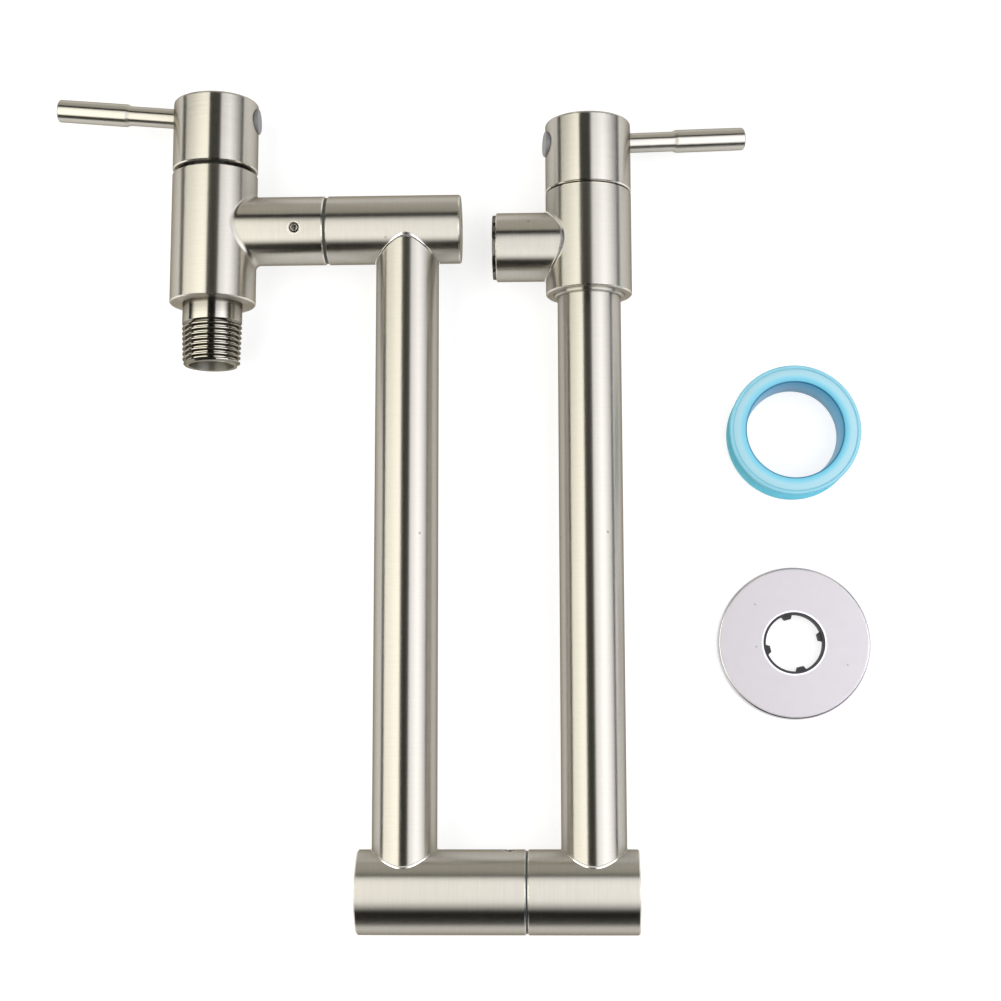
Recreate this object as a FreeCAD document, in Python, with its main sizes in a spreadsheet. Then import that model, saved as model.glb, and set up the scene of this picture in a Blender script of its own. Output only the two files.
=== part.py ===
import FreeCAD, Part
import math
import os
from types import SimpleNamespace
import Sketcher

os.makedirs("parts", exist_ok=True)
doc = FreeCAD.newDocument("FoldingFaucet")
sheet = doc.addObject("Spreadsheet::Sheet", "Sizes")

# The frame. The faucet lies folded on a table, +Z away from the table. The inlet valve stands
# along +Y on the world origin, its wall face at Y = 0 and its thread below that. Both swivel
# axes run along +X. The outer arm, its outlet valve and the loose pieces lie towards +X.

# Driving sizes in millimetres, angles in degrees, shares without a unit.
driving = {
    # valve bodies and the fits that every piece shares
    "valve_radius": 15.0,
    "edge_chamfer": 0.4,
    "fit_gap": 0.05,
    "screw_gap": 0.05,
    "face_gap": 0.05,
    "cut_overrun": 2.0,
    # inlet valve
    "inlet_body_height": 46.6,
    "inlet_branch_height": 26.2,
    "inlet_branch_reach": 39.8,
    "inlet_cap_gap": 1.5,
    "inlet_handle_angle": -0.5,
    "inlet_lever_height": 18.8,
    "inlet_plug_height": 18.5,
    "branch_radius": 12.0,
    "branch_weld_radius": 1.8,
    "neck_radius": 10.4,
    "neck_length": 6.4,
    "thread_radius": 10.4775,
    "thread_length": 15.6,
    "thread_pitch": 1.814,
    "thread_depth": 1.162,
    "thread_taper_share": 0.0625,
    "thread_crest_share": 0.16,
    "inlet_bore_radius": 7.8,
    "neck_recess": 0.15,
    "nipple_seat_radius": 9.6,
    "nipple_seat_length": 8.0,
    # chamber inside either valve body, depths below the body's top face
    "chamber_radius": 10.5,
    "chamber_depth": 28.0,
    "seat_bore_radius": 6.0,
    "seat_web": 3.0,
    "collar_radius": 12.6,
    "collar_depth": 8.0,
    "port_radius": 5.5,
    # ceramic-disc cartridge
    "housing_radius": 9.4,
    "housing_wall": 1.6,
    "housing_shoulder": 14.0,
    "window_width": 9.0,
    "window_length": 8.0,
    "hex_across": 19.0,
    "hex_height": 4.0,
    "stem_radius": 4.0,
    "stem_top": 22.0,
    "stem_flange_radius": 6.9,
    "stem_flange_height": 3.0,
    "disc_height": 3.0,
    "disc_port_radius": 5.4,
    "disc_hub_radius": 1.8,
    "seal_height": 2.0,
    "seal_width": 2.4,
    "small_ring_section": 0.9,
    "clip_height": 1.0,
    "clip_width": 1.5,
    "clip_slit": 1.6,
    # handles
    "cap_height": 25.0,
    "cap_edge_round": 1.0,
    "cap_wall": 1.8,
    "cap_cavity_depth": 9.5,
    "spindle_socket_clearance": 0.6,
    "lever_tilt_angle": 5.2,
    "lever_tip_reach": 57.0,
    "lever_grip_length": 24.8,
    "lever_step": 1.2,
    "lever_rod_radius": 3.45,
    "lever_grip_radius": 4.0,
    "lever_screw_radius": 2.5,
    "lever_screw_start": 7.0,
    "lever_seat": 10.5,
    "plug_radius": 4.5,
    "plug_proud": 0.6,
    "plug_length": 4.2,
    "plug_edge": 0.35,
    # headless screws
    "screw_radius": 2.0,
    "grub_length": 5.0,
    "screw_recess": 0.3,
    "screw_point_radius": 1.2,
    "screw_point_length": 1.6,
    "socket_across": 2.0,
    "socket_depth": 1.8,
    # swivel joints
    "swivel_gap": 1.0,
    "elbow_gap": 0.6,
    "spigot_radius": 8.0,
    "spigot_bore_radius": 5.0,
    "spigot_flange": 5.0,
    "spigot_land": 1.6,
    "spigot_tail": 3.0,
    "groove_radius": 6.7,
    "groove_width": 2.9,
    "ring_section": 0.9,
    "ring_spacing": 4.0,
    "washer_inset": 0.5,
    "shoulder_screw_inset": 9.7,
    "shoulder_screw_angle": 100.0,
    "elbow_screw_inset": 5.5,
    "elbow_screw_angle": 8.0,
    # shoulder and inner arm
    "barrel_wall": 1.5,
    "shoulder_length": 46.6,
    "shoulder_tube_place": 27.9,
    "end_plate": 2.0,
    "arm_tube_radius": 11.0,
    "arm_tube_wall": 1.2,
    "inner_arm_pitch": 228.3,
    "weld_rise": 0.3,
    "weld_width": 0.32,
    "stub_weld_rise": 0.4,
    "stub_weld_width": 0.45,
    # elbow
    "elbow_radius": 14.0,
    "elbow_inner_overhang": 15.5,
    "elbow_inner_length": 56.3,
    "elbow_tube_place": 22.1,
    "elbow_outer_overhang": 3.9,
    # outer arm and outlet valve
    "outer_arm_reach": 203.8,
    "outlet_body_height": 36.5,
    "outlet_stub_height": 17.6,
    "outlet_stub_reach": 32.3,
    "outlet_cap_gap": 0.5,
    "outlet_handle_angle": 191.0,
    "outlet_lever_height": 17.75,
    "outlet_plug_height": 17.1,
    "tube_socket_depth": 3.2,
    "collar_bead_radius": 12.4,
    "collar_bead_height": 1.2,
    # aerator
    "aerator_depth": 12.0,
    "aerator_thread_radius": 10.3,
    "aerator_rim_radius": 11.2,
    "aerator_rim_height": 1.2,
    "aerator_wall": 1.3,
    "aerator_notch_count": 12.0,
    "aerator_notch_width": 1.6,
    "aerator_insert_height": 5.5,
    "aerator_floor": 1.0,
    "aerator_floor_bore": 7.0,
    "aerator_washer_height": 1.6,
    "spray_hole_radius": 0.7,
    "spray_ring_radius": 4.6,
    "spray_hole_count": 10.0,
    # escutcheon on the table
    "escutcheon_radius": 26.2,
    "escutcheon_height": 5.0,
    "escutcheon_sheet": 0.8,
    "escutcheon_edge_round": 1.2,
    "escutcheon_hole_radius": 10.6,
    "escutcheon_x": 201.7,
    "escutcheon_y": -119.0,
    "grip_wall": 0.8,
    "grip_height": 3.4,
    "grip_nub_radius": 2.2,
    "grip_nub_reach": 8.3,
    "grip_first_nub_angle": 13.5,
    # roll of thread-sealing tape on the table
    "tape_x": 202.8,
    "tape_y": -46.1,
    "spool_radius": 22.6,
    "spool_bore_radius": 16.6,
    "spool_height": 14.0,
    "spool_wall": 1.1,
    "spool_flange": 1.2,
    "spool_lip": 0.5,
    "tape_roll_radius": 20.6,
}


class Size:
    """A length, angle or share: its value now, and its formula on the sheet."""

    def __init__(self, value, formula):
        self.value = value
        self.formula = formula

    def __add__(self, other):
        other = as_size(other)
        return Size(self.value + other.value, f"({self.formula} + {other.formula})")

    def __sub__(self, other):
        other = as_size(other)
        return Size(self.value - other.value, f"({self.formula} - {other.formula})")

    def __mul__(self, other):
        other = as_size(other)
        return Size(self.value * other.value, f"({self.formula} * {other.formula})")

    def __truediv__(self, other):
        other = as_size(other)
        return Size(self.value / other.value, f"({self.formula} / {other.formula})")

    def __radd__(self, other):
        return as_size(other) + self

    def __rsub__(self, other):
        return as_size(other) - self

    def __rmul__(self, other):
        return as_size(other) * self

    def __neg__(self):
        return Size(-self.value, f"(0 - {self.formula})")


def as_size(number):
    """A Size from a Size or from a plain factor."""
    if isinstance(number, Size):
        return number
    return Size(float(number), repr(float(number)))


def cosine(angle):
    return Size(math.cos(math.radians(angle.value)), f"cos({angle.formula})")


def sine(angle):
    return Size(math.sin(math.radians(angle.value)), f"sin({angle.formula})")


def root(size):
    return Size(math.sqrt(size.value), f"sqrt({size.formula})")


for row, (alias, number) in enumerate(driving.items(), start=1):
    sheet.set(f"A{row}", repr(number))
    sheet.setAlias(f"A{row}", alias)
doc.recompute()
d = SimpleNamespace(**{alias: Size(number, f"Sizes.{alias}") for alias, number in driving.items()})


# Helpers that every sub-part is made with.


def bind_base(thing, path, place):
    """Bind a placement's base to three sizes."""
    for letter, size in zip("xyz", place):
        thing.setExpression(f"{path}.Base.{letter}", as_size(size).formula)


def new_part(label, place=(0, 0, 0), turn=None):
    """A PartDesign body with its own label, moved to its place and turned about +Y."""
    part = doc.addObject("PartDesign::Body", label)
    part.Label = label
    if turn is not None:
        part.Placement = FreeCAD.Placement(
            FreeCAD.Vector(0, 0, 0), FreeCAD.Rotation(FreeCAD.Vector(0, 1, 0), turn.value)
        )
        part.setExpression("Placement.Rotation.Angle", turn.formula)
    bind_base(part, "Placement", place)
    return part


def new_sketch(part, role="XY_Plane", origin=(0, 0, 0), spin=None, spin_axis=(0, 0, 1)):
    """A sketch on one of the part's own planes, shifted to origin and turned about spin_axis."""
    sketch = part.newObject("Sketcher::SketchObject", f"{part.Label}_outline")
    plane = next(item for item in part.Origin.OriginFeatures if item.Role == role)
    sketch.AttachmentSupport = (plane, [""])
    sketch.MapMode = "FlatFace"
    if spin is not None:
        turn = FreeCAD.Rotation(FreeCAD.Vector(*spin_axis), spin.value)
        sketch.AttachmentOffset = FreeCAD.Placement(FreeCAD.Vector(0, 0, 0), turn)
        sketch.setExpression("AttachmentOffset.Rotation.Angle", spin.formula)
    bind_base(sketch, "AttachmentOffset", origin)
    return sketch


def bind_point(sketch, edge, end, point, tag):
    """Hold one point of a sketch edge at two sizes."""
    for kind, size in zip(("DistanceX", "DistanceY"), point):
        size = as_size(size)
        index = sketch.addConstraint(Sketcher.Constraint(kind, -1, 1, edge, end, size.value))
        sketch.renameConstraint(index, f"{kind}_{tag}")
        sketch.setExpression(f"Constraints.{kind}_{tag}", size.formula)


def draw_polygon(sketch, points):
    """A closed run of straight edges through points."""
    corners = [FreeCAD.Vector(as_size(x).value, as_size(y).value, 0) for x, y in points]
    first = sketch.GeometryCount
    for start, end in zip(corners, corners[1:] + corners[:1]):
        sketch.addGeometry(Part.LineSegment(start, end))
    for step in range(len(corners)):
        here = first + step
        after = first + (step + 1) % len(corners)
        sketch.addConstraint(Sketcher.Constraint("Coincident", here, 2, after, 1))
    for step, point in enumerate(points):
        bind_point(sketch, first + step, 1, point, str(first + step))


def draw_circle(sketch, centre, radius):
    """A circle of a bound radius about a bound centre."""
    middle = FreeCAD.Vector(as_size(centre[0]).value, as_size(centre[1]).value, 0)
    edge = sketch.addGeometry(Part.Circle(middle, FreeCAD.Vector(0, 0, 1), radius.value))
    bind_point(sketch, edge, 3, centre, str(edge))
    index = sketch.addConstraint(Sketcher.Constraint("Radius", edge, radius.value))
    sketch.renameConstraint(index, f"Radius_{edge}")
    sketch.setExpression(f"Constraints.Radius_{edge}", radius.formula)


def draw_hexagon(sketch, across):
    """A regular hexagon of a bound width across its flats, centred on the sketch."""
    corner = across / root(as_size(3))
    steps = [as_size(60 * step) for step in range(6)]
    draw_polygon(sketch, [(corner * cosine(step), corner * sine(step)) for step in steps])


def spin_sketch(part, sketch, kind, axis):
    """Revolve a sketch a full turn about one of its own axes, adding or cutting."""
    feature = part.newObject(f"PartDesign::{kind}", f"{part.Label}_{kind.lower()}")
    feature.Profile = sketch
    feature.ReferenceAxis = (sketch, [axis])
    feature.Angle = 360
    doc.recompute()
    return feature


def turn_solid(part, points, axis="V_Axis", **place):
    """A turned piece: points are (radius, height) about V_Axis, (length, radius) about H_Axis."""
    sketch = new_sketch(part, **place)
    draw_polygon(sketch, points)
    return spin_sketch(part, sketch, "Revolution", axis)


def turn_cut(part, points, axis="V_Axis", **place):
    """A turned bore or groove."""
    sketch = new_sketch(part, **place)
    draw_polygon(sketch, points)
    return spin_sketch(part, sketch, "Groove", axis)


def push(part, sketch, kind, length, both=False):
    """Pad or pocket a sketch, one way or half each way."""
    feature = part.newObject(f"PartDesign::{kind}", f"{part.Label}_{kind.lower()}")
    feature.Profile = sketch
    feature.setExpression("Length", length.formula)
    feature.Midplane = both
    doc.recompute()
    return feature


def block(low, high, bottom, top):
    """The four corners of an upright rectangle."""
    return [(low, bottom), (high, bottom), (high, top), (low, top)]


def round_edges(part, size, chosen, kind="Fillet"):
    """Round or chamfer the edges of the part's last feature that chosen accepts."""
    base = part.Tip
    edges = [f"Edge{n}" for n, edge in enumerate(base.Shape.Edges, start=1) if chosen(edge)]
    feature = part.newObject(f"PartDesign::{kind}", f"{part.Label}_{kind.lower()}")
    feature.Base = (base, edges)
    feature.setExpression("Radius" if kind == "Fillet" else "Size", size.formula)
    doc.recompute()
    return feature


def polar(part, feature, axis, count):
    """Repeat a feature round an axis of the part's own origin or sketch."""
    pattern = part.newObject("PartDesign::PolarPattern", f"{part.Label}_polar")
    pattern.Originals = [feature]
    pattern.Axis = axis
    pattern.Angle = 360
    pattern.setExpression("Occurrences", count.formula)
    part.Tip = pattern
    doc.recompute()
    return pattern


def is_ring(edge, axis, place, radius):
    """Whether an edge is a circle of a radius whose middle has a coordinate on an axis."""
    if not isinstance(edge.Curve, Part.Circle):
        return False
    middle = {"x": edge.Curve.Center.x, "y": edge.Curve.Center.y, "z": edge.Curve.Center.z}[axis]
    near = radius.value * 1e-6
    return abs(middle - place.value) < near + 1e-6 and abs(edge.Curve.Radius - radius.value) < near


# Places that several sub-parts share.
inlet_top = d.inlet_body_height
outlet_x = (
    d.inlet_branch_reach + d.swivel_gap + d.shoulder_tube_place
    - d.elbow_inner_overhang + d.elbow_inner_length + d.elbow_gap + d.elbow_tube_place
)
shoulder_x = d.inlet_branch_reach + d.swivel_gap
shoulder_y = d.inlet_branch_height
inner_tube_x = shoulder_x + d.shoulder_tube_place
elbow_y = shoulder_y - d.inner_arm_pitch
elbow_inner_x = inner_tube_x - d.elbow_inner_overhang
elbow_face_x = elbow_inner_x + d.elbow_inner_length
elbow_outer_x = elbow_face_x + d.elbow_gap
elbow_outer_length = d.elbow_tube_place + d.arm_tube_radius + d.elbow_outer_overhang
outlet_y = elbow_y + d.outer_arm_reach
table_z = -d.valve_radius
spigot_bore = d.spigot_radius + d.fit_gap
nose_past_screw = d.groove_width / 2 + 2 * d.ring_spacing + d.spigot_land
shoulder_nose = d.shoulder_screw_inset + nose_past_screw
elbow_nose = d.elbow_screw_inset + nose_past_screw


def screw_hole(part, x, y, turn, deep, high):
    """A radial hole for a headless screw, through a wall round an X axis at height y."""
    points = block(0, d.screw_radius, deep, high + d.cut_overrun)
    return turn_cut(part, points, origin=(x, y, 0), spin=turn, spin_axis=(1, 0, 0))


def chamber_cut(part, top, floor):
    """The cartridge chamber: collar recess, chamber, seat and the bore that feeds it."""
    collar_floor = top - d.collar_depth
    seat = top - d.chamber_depth
    turn_cut(part, [
        (0, floor), (d.seat_bore_radius, floor), (d.seat_bore_radius, seat),
        (d.chamber_radius, seat), (d.chamber_radius, collar_floor),
        (d.collar_radius, collar_floor), (d.collar_radius, top + d.cut_overrun),
        (0, top + d.cut_overrun),
    ])


# Inlet valve body: one machined bar, with a socket for the nipple below and the branch that
# carries the arms welded to its side and ground to a soft blend.
part = new_part("inlet_valve_body")
turn_solid(part, [
    (0, 0), (d.valve_radius - d.edge_chamfer, 0), (d.valve_radius, d.edge_chamfer),
    (d.valve_radius, inlet_top - d.edge_chamfer),
    (d.valve_radius - d.edge_chamfer, inlet_top), (0, inlet_top),
])
turn_solid(part, block(0, d.inlet_branch_reach, 0, d.branch_radius), axis="H_Axis",
           origin=(0, d.inlet_branch_height, 0))


def is_branch_saddle(edge):
    """Whether an edge is the seam where the branch leaves the round body."""
    box = edge.BoundBox
    on_side = box.XMin > 0 and box.XMax < d.valve_radius.value * 1.01
    return on_side and box.YLength > d.branch_radius.value and edge.Length > box.YLength * 1.05


round_edges(part, d.branch_weld_radius, is_branch_saddle)
round_edges(part, d.edge_chamfer,
            lambda edge: is_ring(edge, "x", d.inlet_branch_reach, d.branch_radius), "Chamfer")
chamber_cut(part, inlet_top, 0)
inlet_seat_web = inlet_top - d.chamber_depth - d.seat_web
nipple_socket = d.nipple_seat_radius + d.fit_gap
socket_floor = d.nipple_seat_length + d.face_gap
recess_radius = d.neck_radius + d.neck_recess
turn_cut(part, [
    (0, -d.cut_overrun), (recess_radius, -d.cut_overrun), (recess_radius, d.neck_recess),
    (nipple_socket, d.neck_recess), (nipple_socket, socket_floor),
    (d.inlet_bore_radius, socket_floor), (d.inlet_bore_radius, inlet_seat_web),
    (0, inlet_seat_web),
])
turn_cut(part, block(d.inlet_branch_reach - shoulder_nose - d.face_gap,
                     d.inlet_branch_reach + d.cut_overrun, 0, spigot_bore),
         axis="H_Axis", origin=(0, d.inlet_branch_height, 0))
turn_cut(part, block(0, d.inlet_branch_reach, 0, d.port_radius), axis="H_Axis",
         origin=(0, d.inlet_branch_height, 0))
screw_hole(part, d.inlet_branch_reach - d.shoulder_screw_inset, d.inlet_branch_height,
           d.shoulder_screw_angle, d.spigot_radius - d.cut_overrun, d.branch_radius)

# Nipple: turned from bar and pressed into the body's socket, with the plain neck that the
# escutcheon grips and the taper pipe thread, whose crests are rings at the pitch of the helix.
part = new_part("inlet_nipple")
thread_start = -d.neck_length
thread_end = thread_start - d.thread_length
thread_tip_radius = d.thread_radius - d.thread_length * d.thread_taper_share / 2
mouth_chamfer = d.thread_depth / 2
turn_solid(part, [
    (d.inlet_bore_radius, thread_end), (thread_tip_radius - mouth_chamfer, thread_end),
    (thread_tip_radius, thread_end + mouth_chamfer), (d.thread_radius, thread_start),
    (d.neck_radius, thread_start), (d.neck_radius, -d.face_gap),
    (d.nipple_seat_radius, -d.face_gap), (d.nipple_seat_radius, d.nipple_seat_length),
    (d.inlet_bore_radius, d.nipple_seat_length),
])
groove_half = d.thread_pitch * (1 - d.thread_crest_share) / 2
first_groove = thread_start - d.thread_pitch / 2
thread_flank = turn_cut(part, [
    (d.thread_radius - d.thread_depth, first_groove),
    (d.thread_radius + d.fit_gap, first_groove + groove_half),
    (d.thread_radius + d.fit_gap, first_groove - groove_half),
])
thread_row = part.newObject("PartDesign::LinearPattern", "inlet_thread_row")
thread_row.Originals = [thread_flank]
thread_row.Direction = (thread_flank.Profile[0], ["V_Axis"])
thread_row.Reversed = True
thread_row.Length = d.thread_pitch.value
thread_row.setExpression(
    "Occurrences", f"floor({d.thread_length.formula} / {d.thread_pitch.formula})"
)
thread_row.setExpression(
    "Length",
    f"(floor({d.thread_length.formula} / {d.thread_pitch.formula}) - 1) * {d.thread_pitch.formula}",
)
part.Tip = thread_row
doc.recompute()


# Cartridges: a brass housing screwed into each chamber, with a rubber seat seal, two ceramic
# discs, and a stem that turns the upper disc. Heights are from the valve body's top face.
def make_cartridge(side, x, top):
    seat = -d.chamber_depth
    seal_top = seat + d.seal_height
    fixed_top = seal_top + d.disc_height
    moving_top = fixed_top + d.face_gap + d.disc_height
    flange_top = moving_top + d.stem_flange_height
    housing_bore = d.housing_radius - d.housing_wall
    collar_bottom = -d.collar_depth
    collar_outer = d.collar_radius - d.screw_gap
    neck_bore = d.stem_radius + d.fit_gap
    housing = new_part(f"{side}_cartridge_body", (x, top, 0))
    turn_solid(housing, [
        (housing_bore, seal_top), (d.housing_radius, seal_top),
        (d.housing_radius, collar_bottom), (collar_outer, collar_bottom),
        (collar_outer, 0), (neck_bore, 0), (neck_bore, -d.housing_shoulder),
        (housing_bore, -d.housing_shoulder),
    ])
    hexagon = new_sketch(housing, "XZ_Plane")
    draw_hexagon(hexagon, d.hex_across)
    draw_circle(hexagon, (0, 0), neck_bore)
    nut = push(housing, hexagon, "Pad", d.hex_height)
    nut.Reversed = True
    doc.recompute()
    window = new_sketch(housing, "YZ_Plane")
    half = d.window_width / 2
    draw_polygon(window, block(moving_top, moving_top + d.window_length, -half, half))
    push(housing, window, "Pocket", d.housing_radius * 3, both=True)
    ring_groove = d.small_ring_section * 2
    turn_cut(housing, block(collar_outer - ring_groove, collar_outer + d.cut_overrun,
                            collar_bottom + d.edge_chamfer,
                            collar_bottom + d.edge_chamfer + ring_groove))

    seal = new_part(f"{side}_seat_seal", (x, top, 0))
    turn_solid(seal, block(d.housing_radius - d.seal_width, d.housing_radius, seat, seal_top))

    fixed = new_part(f"{side}_fixed_disc", (x, top, 0))
    cut_disc(fixed, housing_bore - d.fit_gap, seal_top, fixed_top)
    moving = new_part(f"{side}_moving_disc", (x, top, 0))
    cut_disc(moving, housing_bore - d.fit_gap * 2, fixed_top + d.face_gap, moving_top)

    stem = new_part(f"{side}_cartridge_stem", (x, top, 0))
    groove_low = -d.collar_depth / 2
    groove_high = groove_low + d.ring_section * 2
    clip_low = d.hex_height + d.face_gap * 2
    clip_high = clip_low + d.clip_height
    clip_floor = d.stem_radius - d.clip_width / 2
    ring_floor = d.stem_radius - ring_groove
    turn_solid(stem, [
        (0, moving_top), (d.stem_flange_radius, moving_top),
        (d.stem_flange_radius, flange_top), (d.stem_radius, flange_top),
        (d.stem_radius, groove_low), (ring_floor, groove_low), (ring_floor, groove_high),
        (d.stem_radius, groove_high), (d.stem_radius, clip_low), (clip_floor, clip_low),
        (clip_floor, clip_high), (d.stem_radius, clip_high),
        (d.stem_radius, d.stem_top - d.edge_chamfer),
        (d.stem_radius - d.edge_chamfer, d.stem_top), (0, d.stem_top),
    ])

    o_ring(f"{side}_stem_oring", (x, top, 0), "V_Axis", d.stem_radius, [groove_low],
           d.small_ring_section)
    o_ring(f"{side}_collar_oring", (x, top, 0), "V_Axis", collar_outer,
           [collar_bottom + d.edge_chamfer], d.small_ring_section)

    clip = new_part(f"{side}_stem_clip", (x, top, 0))
    turn_solid(clip, block(clip_floor + d.screw_gap, clip_floor + d.clip_width * 2,
                           clip_low + d.screw_gap, clip_high - d.screw_gap))
    slit = new_sketch(clip, "XZ_Plane")
    draw_polygon(slit, block(0, d.stem_radius * 3, -d.clip_slit / 2, d.clip_slit / 2))
    push(clip, slit, "Pocket", d.hex_height * 4, both=True)


def cut_disc(part, radius, low, high):
    """A ceramic disc with two quarter ports opposite each other, round a solid hub."""
    turn_solid(part, block(0, radius, low, high))
    port = new_sketch(part, "XZ_Plane")
    inner = d.disc_hub_radius
    outer = d.disc_port_radius
    lean = as_size(0.5) * outer
    draw_polygon(port, [(inner, -inner), (outer, -lean), (outer, lean), (inner, inner)])
    cut = push(part, port, "Pocket", d.chamber_depth * 3, both=True)
    polar(part, cut, (port, ["N_Axis"]), as_size(2))


def o_ring(label, place, axis, groove_face, starts, section):
    """Round-section rings that fill the grooves cut below groove_face, one for each start."""
    part = new_part(label, place)
    middle = groove_face - section
    for start in starts:
        sketch = new_sketch(part)
        centre = (middle, start + section)
        if axis == "H_Axis":
            centre = (start + section, middle)
        draw_circle(sketch, centre, section - d.face_gap)
        if part.Tip is not None:
            part.AllowCompound = True
        spin_sketch(part, sketch, "Revolution", axis)
    return part


# Handles: a hollow cap on the stem, held by a grub screw behind a round index plug, and a
# turned lever screwed into the cap opposite the plug. Heights are from the cap's lower face.
def make_handle(side, x, top, gap, turn, lever_height, plug_height):
    place = (x, top + gap, 0)
    stem_high = d.stem_top - gap
    plug_face = d.valve_radius + d.plug_proud
    plug_floor = plug_face - d.plug_length
    cavity_radius = d.valve_radius - d.cap_wall
    cap = new_part(f"{side}_handle_cap", place, turn)
    socket = d.stem_radius + d.fit_gap
    socket_top = stem_high + d.spindle_socket_clearance
    turn_solid(cap, [
        (cavity_radius, 0), (d.valve_radius - d.edge_chamfer, 0),
        (d.valve_radius, d.edge_chamfer), (d.valve_radius, d.cap_height), (0, d.cap_height),
        (0, socket_top), (socket, socket_top), (socket, d.cap_cavity_depth),
        (cavity_radius, d.cap_cavity_depth),
    ])
    round_edges(cap, d.cap_edge_round,
                lambda edge: is_ring(edge, "y", d.cap_height, d.valve_radius))
    rod_hole = d.lever_rod_radius + d.screw_gap
    screw_hole_radius = d.lever_screw_radius + d.screw_gap
    turn_cut(cap, [
        (-d.valve_radius - d.cut_overrun, 0), (-d.valve_radius - d.cut_overrun, rod_hole),
        (-d.lever_seat, rod_hole), (-d.lever_seat, screw_hole_radius),
        (-d.lever_screw_start + d.face_gap, screw_hole_radius),
        (-d.lever_screw_start + d.face_gap, 0),
    ], axis="H_Axis", origin=(0, lever_height, 0), spin=-d.lever_tilt_angle)
    turn_cut(cap, [
        (0, 0), (0, d.screw_radius), (plug_floor, d.screw_radius),
        (plug_floor, d.plug_radius + d.fit_gap),
        (d.valve_radius + d.cut_overrun, d.plug_radius + d.fit_gap),
        (d.valve_radius + d.cut_overrun, 0),
    ], axis="H_Axis", origin=(0, plug_height, 0))

    lever = new_part(f"{side}_handle_lever", place, turn)
    grip_start = d.lever_tip_reach - d.lever_grip_length
    turn_solid(lever, [
        (-d.lever_screw_start, 0), (-d.lever_screw_start, d.lever_screw_radius - d.edge_chamfer),
        (-d.lever_screw_start - d.edge_chamfer, d.lever_screw_radius),
        (-d.lever_seat - d.face_gap, d.lever_screw_radius),
        (-d.lever_seat - d.face_gap, d.lever_rod_radius),
        (-grip_start + d.lever_step, d.lever_rod_radius), (-grip_start, d.lever_grip_radius),
        (-d.lever_tip_reach + d.edge_chamfer, d.lever_grip_radius),
        (-d.lever_tip_reach, d.lever_grip_radius - d.edge_chamfer), (-d.lever_tip_reach, 0),
    ], axis="H_Axis", origin=(0, lever_height, 0), spin=-d.lever_tilt_angle)

    grub = new_part(f"{side}_grub_screw", place, turn)
    grub_start = d.stem_radius + d.screw_gap
    make_screw(grub, grub_start, grub_start + d.grub_length, plug_height)

    plug = new_part(f"{side}_index_plug", place, turn)
    turn_solid(plug, [
        (plug_floor + d.face_gap, 0), (plug_floor + d.face_gap, d.plug_radius),
        (plug_face - d.plug_edge, d.plug_radius), (plug_face, d.plug_radius - d.plug_edge),
        (plug_face, 0),
    ], axis="H_Axis", origin=(0, plug_height, 0))


def make_screw(part, start, end, height):
    """A headless screw along +X with a dog point at its start and a hex socket at its end."""
    thread = d.screw_radius - d.screw_gap
    turn_solid(part, [
        (start, 0), (start, d.screw_point_radius), (start + d.screw_point_length, d.screw_point_radius),
        (start + d.screw_point_length, thread - d.edge_chamfer),
        (start + d.screw_point_length + d.edge_chamfer, thread),
        (end - d.edge_chamfer, thread), (end, thread - d.edge_chamfer), (end, 0),
    ], axis="H_Axis", origin=(0, height, 0))
    socket = new_sketch(part, "YZ_Plane", origin=(height, 0, end))
    draw_hexagon(socket, d.socket_across)
    push(part, socket, "Pocket", d.socket_depth)


make_cartridge("inlet", 0, inlet_top)
make_handle("inlet", 0, inlet_top, d.inlet_cap_gap, d.inlet_handle_angle,
            d.inlet_lever_height, d.inlet_plug_height)


# Swivel joints: a spigot fixed in each moving barrel turns in the bore of its neighbour, on two
# O-rings and a thrust washer. The tip of a headless screw runs in the spigot's round groove.
def make_swivel(name, face_x, gap, y, screw_inset, nose, outer_radius, barrel_radius):
    place = (face_x, y, 0)
    start = gap
    groove_low = -screw_inset - d.groove_width / 2
    ring_lows = [groove_low - d.ring_spacing * step for step in (1, 2)]
    flange_radius = barrel_radius - d.barrel_wall - d.screw_gap
    points = [(start + d.spigot_flange, d.spigot_bore_radius), (-nose, d.spigot_bore_radius)]
    points += [(-nose, d.spigot_radius - d.edge_chamfer), (-nose + d.edge_chamfer, d.spigot_radius)]
    for low in reversed(ring_lows):
        high = low + d.ring_section * 2
        floor = d.spigot_radius - d.ring_section * 2
        points += [(low, d.spigot_radius), (low, floor), (high, floor), (high, d.spigot_radius)]
    groove_high = groove_low + d.groove_width
    points += [(groove_low, d.spigot_radius), (groove_low, d.groove_radius)]
    points += [(groove_high, d.groove_radius), (groove_high, d.spigot_radius)]
    points += [(start, d.spigot_radius), (start, flange_radius)]
    points += [(start + d.spigot_flange, flange_radius)]
    spigot = new_part(f"{name}_spigot", place)
    turn_solid(spigot, points, axis="H_Axis")
    o_ring(f"{name}_orings", place, "H_Axis", d.spigot_radius, ring_lows, d.ring_section)
    washer = new_part(f"{name}_washer", place)
    turn_solid(washer, block(d.face_gap, gap - d.face_gap, d.spigot_radius + d.fit_gap,
                             outer_radius - d.washer_inset), axis="H_Axis")


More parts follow.
